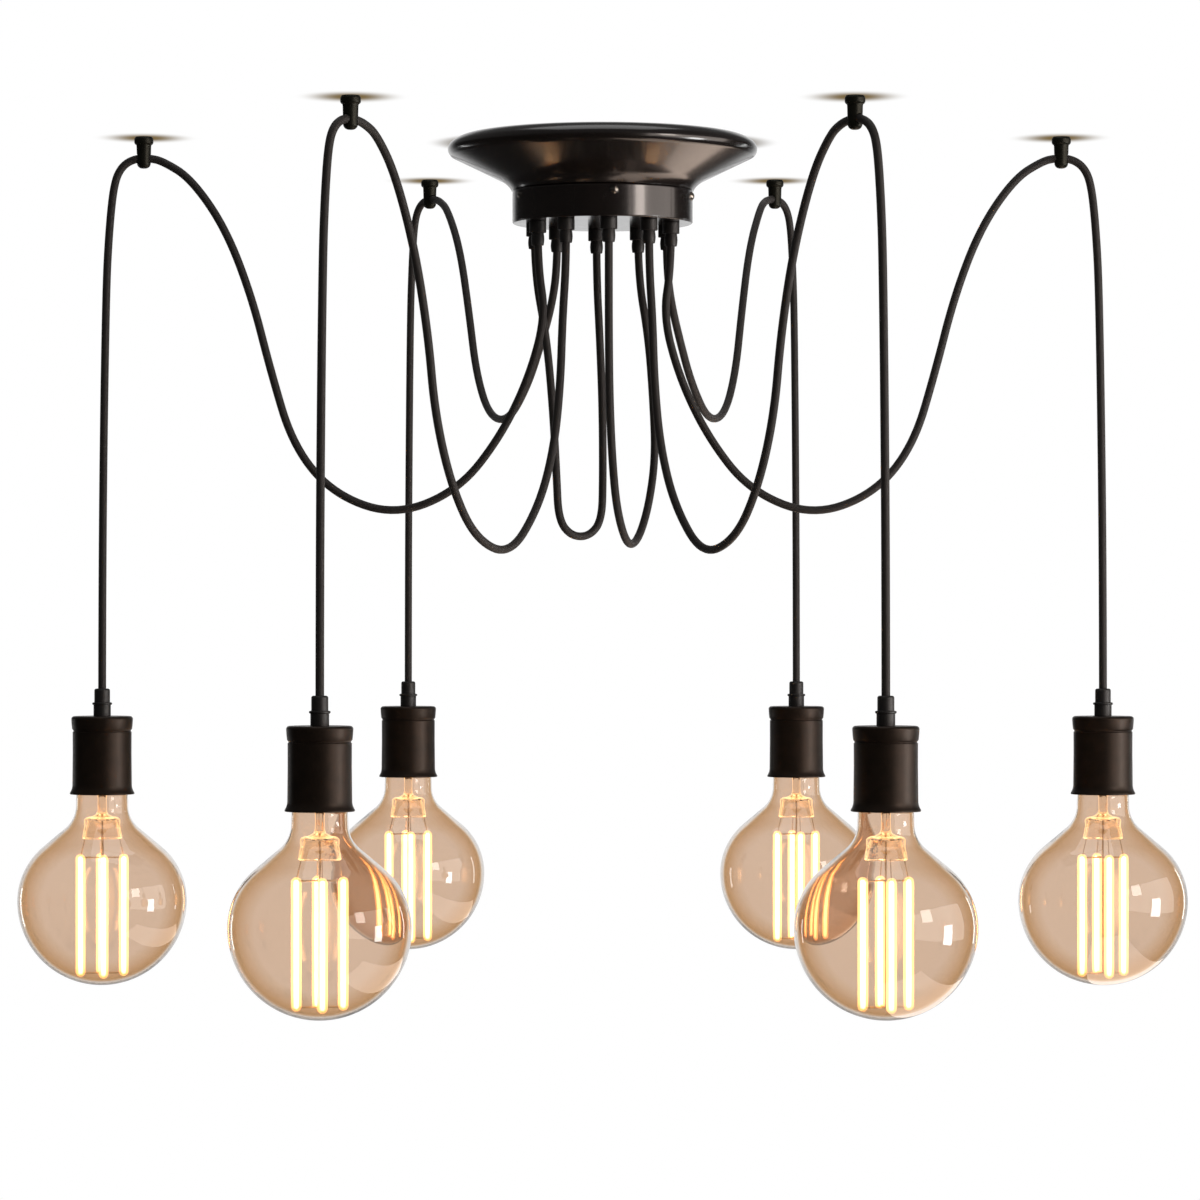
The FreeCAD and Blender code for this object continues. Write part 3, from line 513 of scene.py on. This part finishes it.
def outlet(index):
    """Where a cord leaves the canopy, at its start inside the grip."""
    angle = OUTLET_TURN + FULL_TURN * index / OUTLET_COUNT
    return Vector((OUTLET_PITCH * math.sin(angle), -OUTLET_PITCH * math.cos(angle), -CORD_START_DEPTH))


def outward(station):
    """The direction in which a station's cord runs out over its hook."""
    axis = joint_of(f"swing_{station}")["axis"]
    return Vector((-axis[1], axis[0], 0))


def cord_route(station):
    """The control points of a lamp's cord, from its outlet over its hook and down to its lamp."""
    pair, number, _ = STATIONS[station]
    hook = mount_place(f"hook_screw_{station}")
    hook.z = 0
    start = outlet(number)
    across = Vector((start.x, start.y, 0)) - hook
    points = [start]
    points += [hook + across * share - Vector((0, 0, depth)) for share, depth in SWAGS[pair]]
    points += [hook + outward(station) * reach - Vector((0, 0, depth)) for reach, depth in OVER_HOOK]
    return points


def smooth_line(name, route):
    """The points along the NURBS spline that a route controls."""
    curve = bpy.data.curves.new(name, "CURVE")
    curve.dimensions = "3D"
    spline = curve.splines.new("NURBS")
    spline.points.add(len(route) - 1)
    for point, place in zip(spline.points, route):
        point.co = (*place, 1)
    spline.order_u = 3
    spline.use_endpoint_u = True
    spline.resolution_u = CORD_STEPS
    holder = bpy.data.objects.new(name, curve)
    line = bpy.data.meshes.new_from_object(holder)
    points = [vertex.co.copy() for vertex in line.vertices]
    for block, store in ((holder, bpy.data.objects), (line, bpy.data.meshes), (curve, bpy.data.curves)):
        store.remove(block)
    return points


def tube_along(points, radius, sides=16):
    """A capped tube along points, with its turn and its metres in a UV map named braid."""
    mesh = bmesh.new()
    turn_layer = mesh.verts.layers.float.new("turn")
    run_layer = mesh.verts.layers.float.new("run")
    ring = bmesh.ops.create_circle(mesh, segments=sides, radius=radius, cap_ends=False)["verts"]
    edges = list({edge for vert in ring for edge in vert.link_edges})
    for index, vert in enumerate(ring):
        vert[turn_layer] = index / sides
    heading, place = Vector((0, 0, 1)), Vector()
    run = 0
    caps = []
    for index, point in enumerate(points):
        before, after = points[max(index - 1, 0)], points[min(index + 1, len(points) - 1)]
        towards = (after - before).normalized()
        if index:
            run += (point - points[index - 1]).length
            made = bmesh.ops.extrude_edge_only(mesh, edges=edges)["geom"]
            ring = [item for item in made if isinstance(item, bmesh.types.BMVert)]
            edges = [item for item in made if isinstance(item, bmesh.types.BMEdge)]
        swing = heading.rotation_difference(towards).to_matrix().to_4x4()
        matrix = Matrix.Translation(point) @ swing @ Matrix.Translation(-place)
        bmesh.ops.transform(mesh, matrix=matrix, verts=ring)
        for vert in ring:
            vert[run_layer] = run
        heading, place = towards, point
        if index in (0, len(points) - 1):
            caps.append(edges)
    uv = mesh.loops.layers.uv.new("braid")
    for face in mesh.faces:
        turns = [loop.vert[turn_layer] for loop in face.loops]
        wraps = max(turns) - min(turns) > 0.5
        for loop, turn in zip(face.loops, turns):
            loop[uv].uv = (turn + 1 if wraps and turn < 0.5 else turn, loop.vert[run_layer])
    for rim in caps:
        bmesh.ops.edgeloop_fill(mesh, edges=rim)
    bmesh.ops.recalc_face_normals(mesh, faces=mesh.faces)
    return mesh


def build_lamp_cord(station):
    """One cord from the canopy over its hook to its lamp."""
    points = smooth_line(f"route_{station}", cord_route(station))
    mesh = tube_along(points, CORD_RADIUS)
    piece = new_piece(f"cord_{station}", mesh, "cord_braid", None,
                      (f"swag_{station}", f"drop_{station}"))
    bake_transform(piece)


def build_loop(name):
    """One of the short loops whose two ends go into the canopy."""
    first, last, length, between = LOOPS[name]
    route = [outlet(first), *[Vector(point) for point in between], outlet(last)]
    points = smooth_line(f"route_{name}", route)
    mesh = tube_along(points, CORD_RADIUS)
    piece = new_piece(f"cord_{name}", mesh, "cord_braid", "canopy", (name,))


def finish_cad_nodes():
    """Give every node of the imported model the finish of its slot."""
    slots = {part["node"]: part["material_slot"] for part in frame["record"]["subparts"]}
    for name, node in frame["nodes"].items():
        node.data.materials.clear()
        node.data.materials.append(FINISHES[slots[name]])


def bored(mesh, cutter):
    """Take the cutter's volume away from a bmesh."""
    blocks = []
    for name, item in (("blank", mesh), ("cutter", cutter)):
        data = bpy.data.meshes.new(name)
        item.to_mesh(data)
        item.free()
        block = bpy.data.objects.new(name, data)
        bpy.context.scene.collection.objects.link(block)
        blocks.append(block)
    blank, tool = blocks
    cut = blank.modifiers.new("bores", "BOOLEAN")
    cut.operation, cut.solver, cut.object = "DIFFERENCE", "EXACT", tool
    drilled = bpy.data.meshes.new_from_object(blank.evaluated_get(bpy.context.evaluated_depsgraph_get()))
    result = bmesh.new()
    result.from_mesh(drilled)
    for block in blocks:
        data = block.data
        bpy.data.objects.remove(block)
        bpy.data.meshes.remove(data)
    bpy.data.meshes.remove(drilled)
    return result


def rod(radius, length, steps=32):
    """A plain bmesh cylinder from the origin upwards, to cut bores with."""
    mesh = bmesh.new()
    bmesh.ops.create_cone(mesh, cap_ends=True, segments=steps, radius1=radius, radius2=radius, depth=length)
    return moved(mesh, (0, 0, length / 2))


def weighted(piece):
    """Let the large faces rule a piece's shading, so that flats look flat beside rounded edges."""
    shading = piece.modifiers.new("shading", "WEIGHTED_NORMAL")
    shading.keep_sharp = True
    return piece


def round_the_canopy(angle, radius, height):
    """A place round the canopy: its angle from the front towards the right, its radius and its height."""
    return Vector((radius * math.sin(angle), -radius * math.cos(angle), height))


def lying(angle):
    """A turn that lays an upright thing down, so that it points outwards at an angle round the canopy."""
    return Matrix.Rotation(angle, 4, "Z") @ Matrix.Rotation(QUARTER_TURN, 4, "X")


def build_canopy():
    """The spun flare with its rolled lip, the drawn cup under it, and the screws that hold the cup."""
    flare = [
        *arc((99.632, -19.89), 20, 84, 48, 10),
        *arc((109, -9.486), 6, 48, -64, 12)[1:],
        *arc((84.82, -50.207), 20, 116, 149, 10),
        (67.9, -40.0),
        (67.5, -40.207),
        (65.35, -40.207),
        (65.35, -50.207),
        (63.85, -50.207),
        (63.85, -38.707),
        *arc((84.82, -50.207), 21.5, 150, 116, 10),
        *arc((109, -9.486), 4.5, -64, 48, 12),
        *arc((99.632, -19.89), 18.5, 48, 84, 10)[1:],
    ]
    weighted(new_piece("flare", spin_outline(bmesh.new(), flare, 128), "canopy_lacquer",
                       "canopy", ("canopy_flare",)))

    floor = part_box("canopy_cup")[0].z
    cup = [
        (0, 0),
        *arc((65.8, 1.2), 1.2, -90, 0, 6),
        *arc((65.5, 22.8), 1.5, 0, 90, 6),
        *arc((64.3, 2.7), 1.2, 0, -90, 4),
        (0, 1.5),
    ]
    shell = moved(spin_outline(bmesh.new(), cup, 128, closed=False), (0, 0, floor))
    screws, bores = bmesh.new(), bmesh.new()
    screw_bore, screw_run, outlet_bore, outlet_run = 2.05 * MM, 16 * MM, 5.15 * MM, 8 * MM
    low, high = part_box("cup_screws")
    screw_height = (low.z + high.z) / 2
    dome = [(0, 2.2), *arc((0, -1.527), 3.727, 90, 24.2, 8)[1:], (3.4, 0), (1.9, 0), (1.9, -7), (0, -7)]
    for index in range(CUP_SCREWS):
        angle = CUP_SCREW_TURN + FULL_TURN * index / CUP_SCREWS
        spot = round_the_canopy(angle, CUP_SCREW_CIRCLE, screw_height)
        screw = spin_outline(bmesh.new(), dome, 24, closed=False)
        appended(screws, moved(screw, spot, lying(angle)))
        bore = moved(rod(screw_bore, screw_run, 24), (0, 0, -screw_run / 2))
        appended(bores, moved(bore, spot, lying(angle)))
    for index in range(OUTLET_COUNT):
        spot = outlet(index)
        appended(bores, moved(rod(outlet_bore, outlet_run), (spot.x, spot.y, floor - outlet_run / 2)))
    weighted(new_piece("cup", bored(shell, bores), "canopy_lacquer", "canopy",
                       ("canopy_cup",)))
    new_piece("cup_screw_heads", screws, "dark_screw", "canopy", ("cup_screws",))


def build_canopy_grips():
    """The ten moulded grips that hold the cords in the cup's floor."""
    outline = [
        (3.3, -17.3),
        *arc((3.8, -17.3), 0.5, 180, 270, 3),
        *arc((4.0, -17.4), 0.4, -90, 0, 3),
        (4.75, -15.2), (4.9, -13.1), (4.75, -11.0), (4.4, -8.7),
        (4.6, -8.4),
        *arc((5.9, -8.0), 0.4, -90, 0, 3),
        *arc((5.9, -0.4), 0.4, 0, 90, 3),
        (5.0, 0),
        (5.0, 9.0),
        (3.3, 9.0),
    ]
    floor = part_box("canopy_cup")[0].z
    mesh = bmesh.new()
    for index in range(OUTLET_COUNT):
        spot = outlet(index)
        appended(mesh, moved(spin_outline(bmesh.new(), outline, 40), (spot.x, spot.y, floor)))
    weighted(new_piece("grips", mesh, "black_nylon", "canopy", ("canopy_grips",)))


def build_hooks():
    """The six turned ceiling hooks, each bored across for its cord."""
    outline = [
        (4.55, 0), (4.55, -5.65), (0, -5.65), (0, -23.4),
        *arc((1.3, -19.6), 3.8, -90, 0, 12),
        (5.3, -12.0), (5.45, -7.0),
        *arc((4.9, -3.9), 2.2, -70, 0, 8),
        *arc((5.3, -1.9), 1.8, 0, 50, 5),
        (6.3, 0),
    ]
    run = 40 * MM
    lay = Quaternion((0, 1, 0), QUARTER_TURN).to_matrix().to_4x4()
    mesh = bmesh.new()
    for station in STATIONS:
        place = mount_place(f"hook_screw_{station}")
        place.z = 0
        bore = moved(rod(HOOK_BORE_RADIUS, run, 40), (0, 0, -run / 2))
        moved(bore, (0, 0, 0), lay)
        heading = outward(station).to_track_quat("X", "Z").to_matrix().to_4x4()
        moved(bore, place - Vector((0, 0, HOOK_BORE_DEPTH)), heading)
        blank = moved(spin_outline(bmesh.new(), outline, 64), place)
        appended(mesh, bored(blank, bore))
    weighted(new_piece("hooks", mesh, "hook_bronze", "canopy", ("hook_bodies",)))


def lamp_place(station):
    """The middle of a lamp holder's lip."""
    low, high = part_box(f"holder_shell_{station}")
    return Vector(((low.x + high.x) / 2, (low.y + high.y) / 2, low.z))


def build_holder(station):
    """A spun lamp holder with its beaded top and flared lip, and the moulded grip on it."""
    body = f"pendant_{station}"
    shell = [
        (22.3, 0.3),
        *arc((23.4, 0.5), 0.5, -90, 40, 5),
        *arc((32.24, 7.0), 10.24, 214.5, 180, 8),
        (21.75, 30), (21.8, 46.2),
        *arc((22.0, 47.1), 0.8, 240, 120, 6),
        (22.2, 48.6), (22.55, 52), (22.8, 55.8),
        *arc((20.6, 55.8), 2.2, 0, 90, 10),
        (5.05, 58), (5.05, 56), (19.8, 56), (20.4, 55.4), (20.4, 3.2),
    ]
    mesh = moved(spin_outline(bmesh.new(), shell, 96), lamp_place(station))
    weighted(new_piece(f"holder_{station}", mesh, "holder_bronze", body,
                       (f"holder_shell_{station}",)))
    grip = [
        (3.3, 51.5), (4.9, 51.5), (4.9, 58), (6.4, 58),
        (6.4, 66.3),
        *arc((6.9, 66.9), 0.4, -90, 0, 3),
        *arc((6.9, 67.7), 0.4, 0, 90, 3),
        (5.9, 68.3), (5.8, 68.6), (5.8, 76.9),
        *arc((4.2, 76.9), 1.6, 0, 90, 6),
        (3.3, 78.5),
    ]
    mesh = moved(spin_outline(bmesh.new(), grip, 48), lamp_place(station))
    weighted(new_piece(f"lamp_grip_{station}", mesh, "black_nylon", body,
                       (f"holder_grip_{station}",)))


def globe_wall(inset):
    """A globe's outline from its lowest point up to its rim, at a depth inside its outer face."""
    return [
        (0, -141.8 + inset),
        *arc((0, -79.2), 62.6 - inset, -90, 0, 36)[1:],
        *arc((10.6, -79.2), 52 - inset, 0, 50, 16)[1:],
        *arc((41.3, -8.361), 22 + inset, 230, 180, 12),
        *arc((14.2 - inset, -2), 5, 0, 45, 5)[1:],
        (12.45 - inset, 6),
        (12.45 - inset, 16),
    ]


def build_bulb(station):
    """A globe lamp: its blown glass, its stem with the bell, the wires and the four filaments."""
    body, place = f"bulb_{station}", lamp_place(station)
    stands_for = (f"bulb_filaments_{station}",)
    wall = globe_wall(0) + globe_wall(1)[::-1]
    mesh = moved(spin_outline(bmesh.new(), wall, 128, closed=False), place)
    new_piece(f"globe_{station}", mesh, "clear_glass", body, (f"bulb_glass_{station}",))

    stem = [
        (0, -15.5), (2.4, -15.7),
        *arc((9.2, -22.6), 3.2, 120, 60, 5),
        (12.2, -25.5), (13.1, -30), (13.3, -32.0),
        *arc((13.7, -32.6), 0.8, 180, 360, 8),
        (14.3, -30), (13.2, -24.6),
        *arc((9.6, -21.6), 4.4, 30, 105, 7),
        (4.2, -15), (3.2, -12), (3.2, 6), (7.5, 12), (11.2, 14.5), (11.2, 16), (0, 16),
    ]
    mesh = moved(spin_outline(bmesh.new(), stem, 64, closed=False), place)
    new_piece(f"stem_{station}", mesh, "filament_glass", body, stands_for)

    high, low, ring = -47 * MM, -133 * MM, 16 * MM
    bell_rim = (12.5 * MM, -32 * MM)
    post, post_height, lead, spoke = 0.7 * MM, 118 * MM, 0.35 * MM, 0.6 * MM
    wires, cores, coats = bmesh.new(), bmesh.new(), bmesh.new()
    appended(wires, moved(rod(post, post_height, 12), (0, 0, low)))
    for index in range(FILAMENTS):
        angle = FILAMENT_TURN + FULL_TURN * index / FILAMENTS
        top_end, low_end = round_the_canopy(angle, *bell_rim), round_the_canopy(angle, ring, high)
        run = low_end - top_end
        appended(wires, moved(rod(lead, run.length, 8), top_end,
                              run.to_track_quat("Z", "Y").to_matrix().to_4x4()))
        for height in (high, low):
            appended(wires, moved(rod(spoke, ring, 12), (0, 0, height), lying(angle)))
        spot = round_the_canopy(angle, ring, 0)
        # Cores and coats are drawn much wider than real filaments, so that their glow paints the halo of
        # light round each one.
        for gathered, radius in ((cores, 1.8), (coats, 3.6)):
            top, bottom = high / MM - 1, low / MM + 1
            capsule = [(0, bottom - radius), *arc((0, bottom), radius, -90, 0, 5)[1:],
                       *arc((0, top), radius, 0, 90, 5)[:-1], (0, top + radius)]
            appended(gathered, moved(spin_outline(bmesh.new(), capsule, 16, closed=False), spot))
    for name, mesh, finish in (("wires", wires, "filament_wire"), ("filament_cores", cores, "filament_glow"),
                               ("filament_coats", coats, "filament_coat")):
        new_piece(f"{name}_{station}", moved(mesh, place), finish, body, stands_for)


def place_camera():
    """The camera, level and straight from the front."""
    data = bpy.data.cameras.new("camera")
    camera = bpy.data.objects.new("camera", data)
    bpy.context.scene.collection.objects.link(camera)
    camera.location = CAMERA_PLACE
    camera.rotation_euler = (QUARTER_TURN, 0, 0)
    data.sensor_width = SENSOR_MM
    data.lens = SENSOR_MM * FOCAL_PIXELS / IMAGE_PIXELS
    data.shift_x = (IMAGE_PIXELS / 2 - AXIS_PIXEL[0]) / IMAGE_PIXELS
    data.shift_y = (AXIS_PIXEL[1] - IMAGE_PIXELS / 2) / IMAGE_PIXELS
    bpy.context.scene.camera = camera


def soft_box(name, direction, distance, size, radiance, colour="#ffffff"):
    """A rectangular soft light that faces the canopy from a direction, by its width, height and radiance."""
    data = bpy.data.lights.new(name, "AREA")
    data.shape = "RECTANGLE"
    data.size, data.size_y = size
    data.energy = radiance * math.pi * size[0] * size[1]
    data.color = linear(colour)[:3]
    box = bpy.data.objects.new(name, data)
    bpy.context.scene.collection.objects.link(box)
    heading = Vector(direction).normalized()
    box.location = LIGHT_TARGET + heading * distance
    box.rotation_euler = heading.to_track_quat("Z", "Y").to_euler()
    box.visible_camera = box.visible_transmission = False
    return box


def at_azimuth(degrees, lift=0.0):
    """A direction from the canopy: its turn from the front towards the right, and its slope."""
    turn = math.radians(degrees)
    return math.sin(turn), -math.cos(turn), lift


def light_studio():
    """A white room behind, a soft window and strips round the object, and a pale floor far below."""
    scene = bpy.context.scene
    scene.view_settings.view_transform = "Standard"
    world = bpy.data.worlds.new("studio")
    world.use_nodes = True
    scene.world = world
    tree = world.node_tree
    tree.nodes.clear()
    way = add_node(tree, "SeparateXYZ", {"Vector": add_node(tree, "TexCoord").outputs["Generated"]})
    behind = eased(tree, way.outputs["Y"], 0.78, 1.0)
    level = eased(tree, way.outputs["Z"], -0.4, -0.12)
    above = eased(tree, way.outputs["Z"], 0.1, 0.3, 0.02, 0.1)
    bright = add_node(tree, "Math", {0: behind, 1: level}, operation="MULTIPLY")
    mirrored = add_node(tree, "MapRange", {"Value": bright.outputs["Value"], "To Min": above, "To Max": 0.95})
    soft = add_node(tree, "Background", {"Color": WHITE, "Strength": 0.4})
    glossy = add_node(tree, "Background", {"Color": WHITE, "Strength": mirrored.outputs["Result"]})
    white = add_node(tree, "Background", {"Color": WHITE, "Strength": 1.0})
    shade = add_node(tree, "MixShader", {0: add_node(tree, "LightPath").outputs["Is Glossy Ray"],
                                         1: soft.outputs["Background"], 2: glossy.outputs["Background"]})
    whole = add_node(tree, "MixShader", {0: seen_rays(tree), 1: shade.outputs["Shader"],
                                         2: white.outputs["Background"]})
    add_node(tree, "OutputWorld", {"Surface": whole.outputs["Shader"]})

    soft_box("window_core", at_azimuth(73, -0.22), 2.2, (0.46, 0.66), 15)
    soft_box("window", at_azimuth(68), 2.4, (3.4, 1.5), 2.2, "#fff1e8")
    soft_box("cup_light", at_azimuth(48, 0.17), 2.3, (0.5, 0.6), 9, "#fff1e8")
    soft_box("right_strip", at_azimuth(130, -0.1), 2.2, (0.12, 0.9), 5)
    soft_box("left_strip", at_azimuth(-130, -0.22), 2.2, (0.14, 0.6), 4)
    low_panel = soft_box("low_panel", (0.62, 0.55, -0.95), 1.26, (0.6, 2.4), 2.0, "#ffe6d4")
    low_panel.rotation_euler = (math.pi, 0, math.radians(-10))
    soft_box("overhead", (0, 0, 1), 1.9, (1.5, 1.5), 1.2)

    floor = bmesh.new()
    bmesh.ops.create_circle(floor, cap_ends=True, segments=128, radius=FLOOR_RADIUS)
    lay_out("floor", moved(floor, (0, 0, -FLOOR_DEPTH)), painted_floor())


def painted_floor():
    """Plain pale paint on a studio floor, lit evenly.

    It fades into the room, and is clear from underneath.
    """
    material, tree, shader = new_material("painted_floor")
    coloured(tree, shader, "#f2f1ee", "#f6f5f2", size_mm=300)
    preset(shader, {"Roughness": 0.9})
    place = add_node(tree, "TexCoord").outputs["Object"]
    away = add_node(tree, "VectorMath", {0: place}, operation="LENGTH").outputs["Value"]
    fade = eased(tree, away, 0.6, 3.4, 0.86, 1.0)
    even = add_node(tree, "Emission", {"Color": WHITE, "Strength": fade})
    lit = add_node(tree, "MixShader", {0: seen_rays(tree), 1: shader.outputs["BSDF"],
                                       2: even.outputs["Emission"]})
    whole = add_node(tree, "MixShader", {0: add_node(tree, "NewGeometry").outputs["Backfacing"],
                                         1: lit.outputs["Shader"],
                                         2: add_node(tree, "BsdfTransparent").outputs["BSDF"]})
    tree.links.new(whole.outputs["Shader"], tree.nodes["Material Output"].inputs["Surface"])
    return material


def ceiling_shade(core, reach, depth, hex_colour, squeeze=1.0):
    """Soft shade on a ceiling, from its full depth at the core to nothing at its reach. Clear from above.

    It has an even tone of its own, which no light changes. A squeeze above 1 draws the shade in
    towards the middle at its front and back.
    """
    material, tree, shader = new_material("ceiling_shade")
    preset(shader, {"Base Color": linear("#000000"), "Emission Color": linear(hex_colour),
                    "Emission Strength": 1.0, "Specular IOR Level": 0.0})
    place = add_node(tree, "TexCoord").outputs["Object"]
    drawn_in = add_node(tree, "Mapping", {"Vector": place, "Scale": (1, squeeze, 1)}).outputs["Vector"]
    away = add_node(tree, "VectorMath", {0: drawn_in}, operation="LENGTH").outputs["Value"]
    fade = eased(tree, away, core, reach, depth, 0.0, curve="SMOOTHERSTEP")
    below = add_node(tree, "Math", {0: 1.0, 1: add_node(tree, "NewGeometry").outputs["Backfacing"]},
                     operation="SUBTRACT")
    alpha = add_node(tree, "Math", {0: fade, 1: below.outputs["Value"]}, operation="MULTIPLY")
    tree.links.new(alpha.outputs["Value"], shader.inputs["Alpha"])
    return material


def lay_out(name, mesh, material, place=(0, 0, 0)):
    """Add a thing of the studio that isn't part of the object."""
    data = bpy.data.meshes.new(name)
    mesh.to_mesh(data)
    mesh.free()
    data.materials.append(material)
    thing = bpy.data.objects.new(name, data)
    thing.location = place
    bpy.context.scene.collection.objects.link(thing)
    thing.visible_glossy = False
    return thing


def shade_the_ceiling():
    """The soft shades that the hooks and the canopy leave on the ceiling."""
    spots = [(mount_place(f"hook_screw_{station}") + SHADE_SHIFT, 48 * MM) for station in STATIONS]
    hook_shade = ceiling_shade(4 * MM, 42 * MM, 1.0, "#7b6742")
    canopy_shade = ceiling_shade(108 * MM, 136 * MM, 0.7, "#5f5038", squeeze=1.35)
    for index, (place, radius) in enumerate([*spots, (SHADE_SHIFT * 4, 140 * MM)]):
        disc = bmesh.new()
        bmesh.ops.create_circle(disc, cap_ends=True, segments=64, radius=radius)
        bmesh.ops.reverse_faces(disc, faces=disc.faces)
        material = hook_shade if index < len(spots) else canopy_shade
        shade = lay_out(f"shade_{index}", disc, material, (place.x, place.y, 0.5 * MM))
        shade.visible_shadow = shade.visible_diffuse = False


place_camera()
light_studio()
shade_the_ceiling()
finish_cad_nodes()
build_canopy()
build_canopy_grips()
build_hooks()
for station_name in STATIONS:
    build_lamp_cord(station_name)
    build_holder(station_name)
    build_bulb(station_name)
for loop_name in LOOPS:
    build_loop(loop_name)
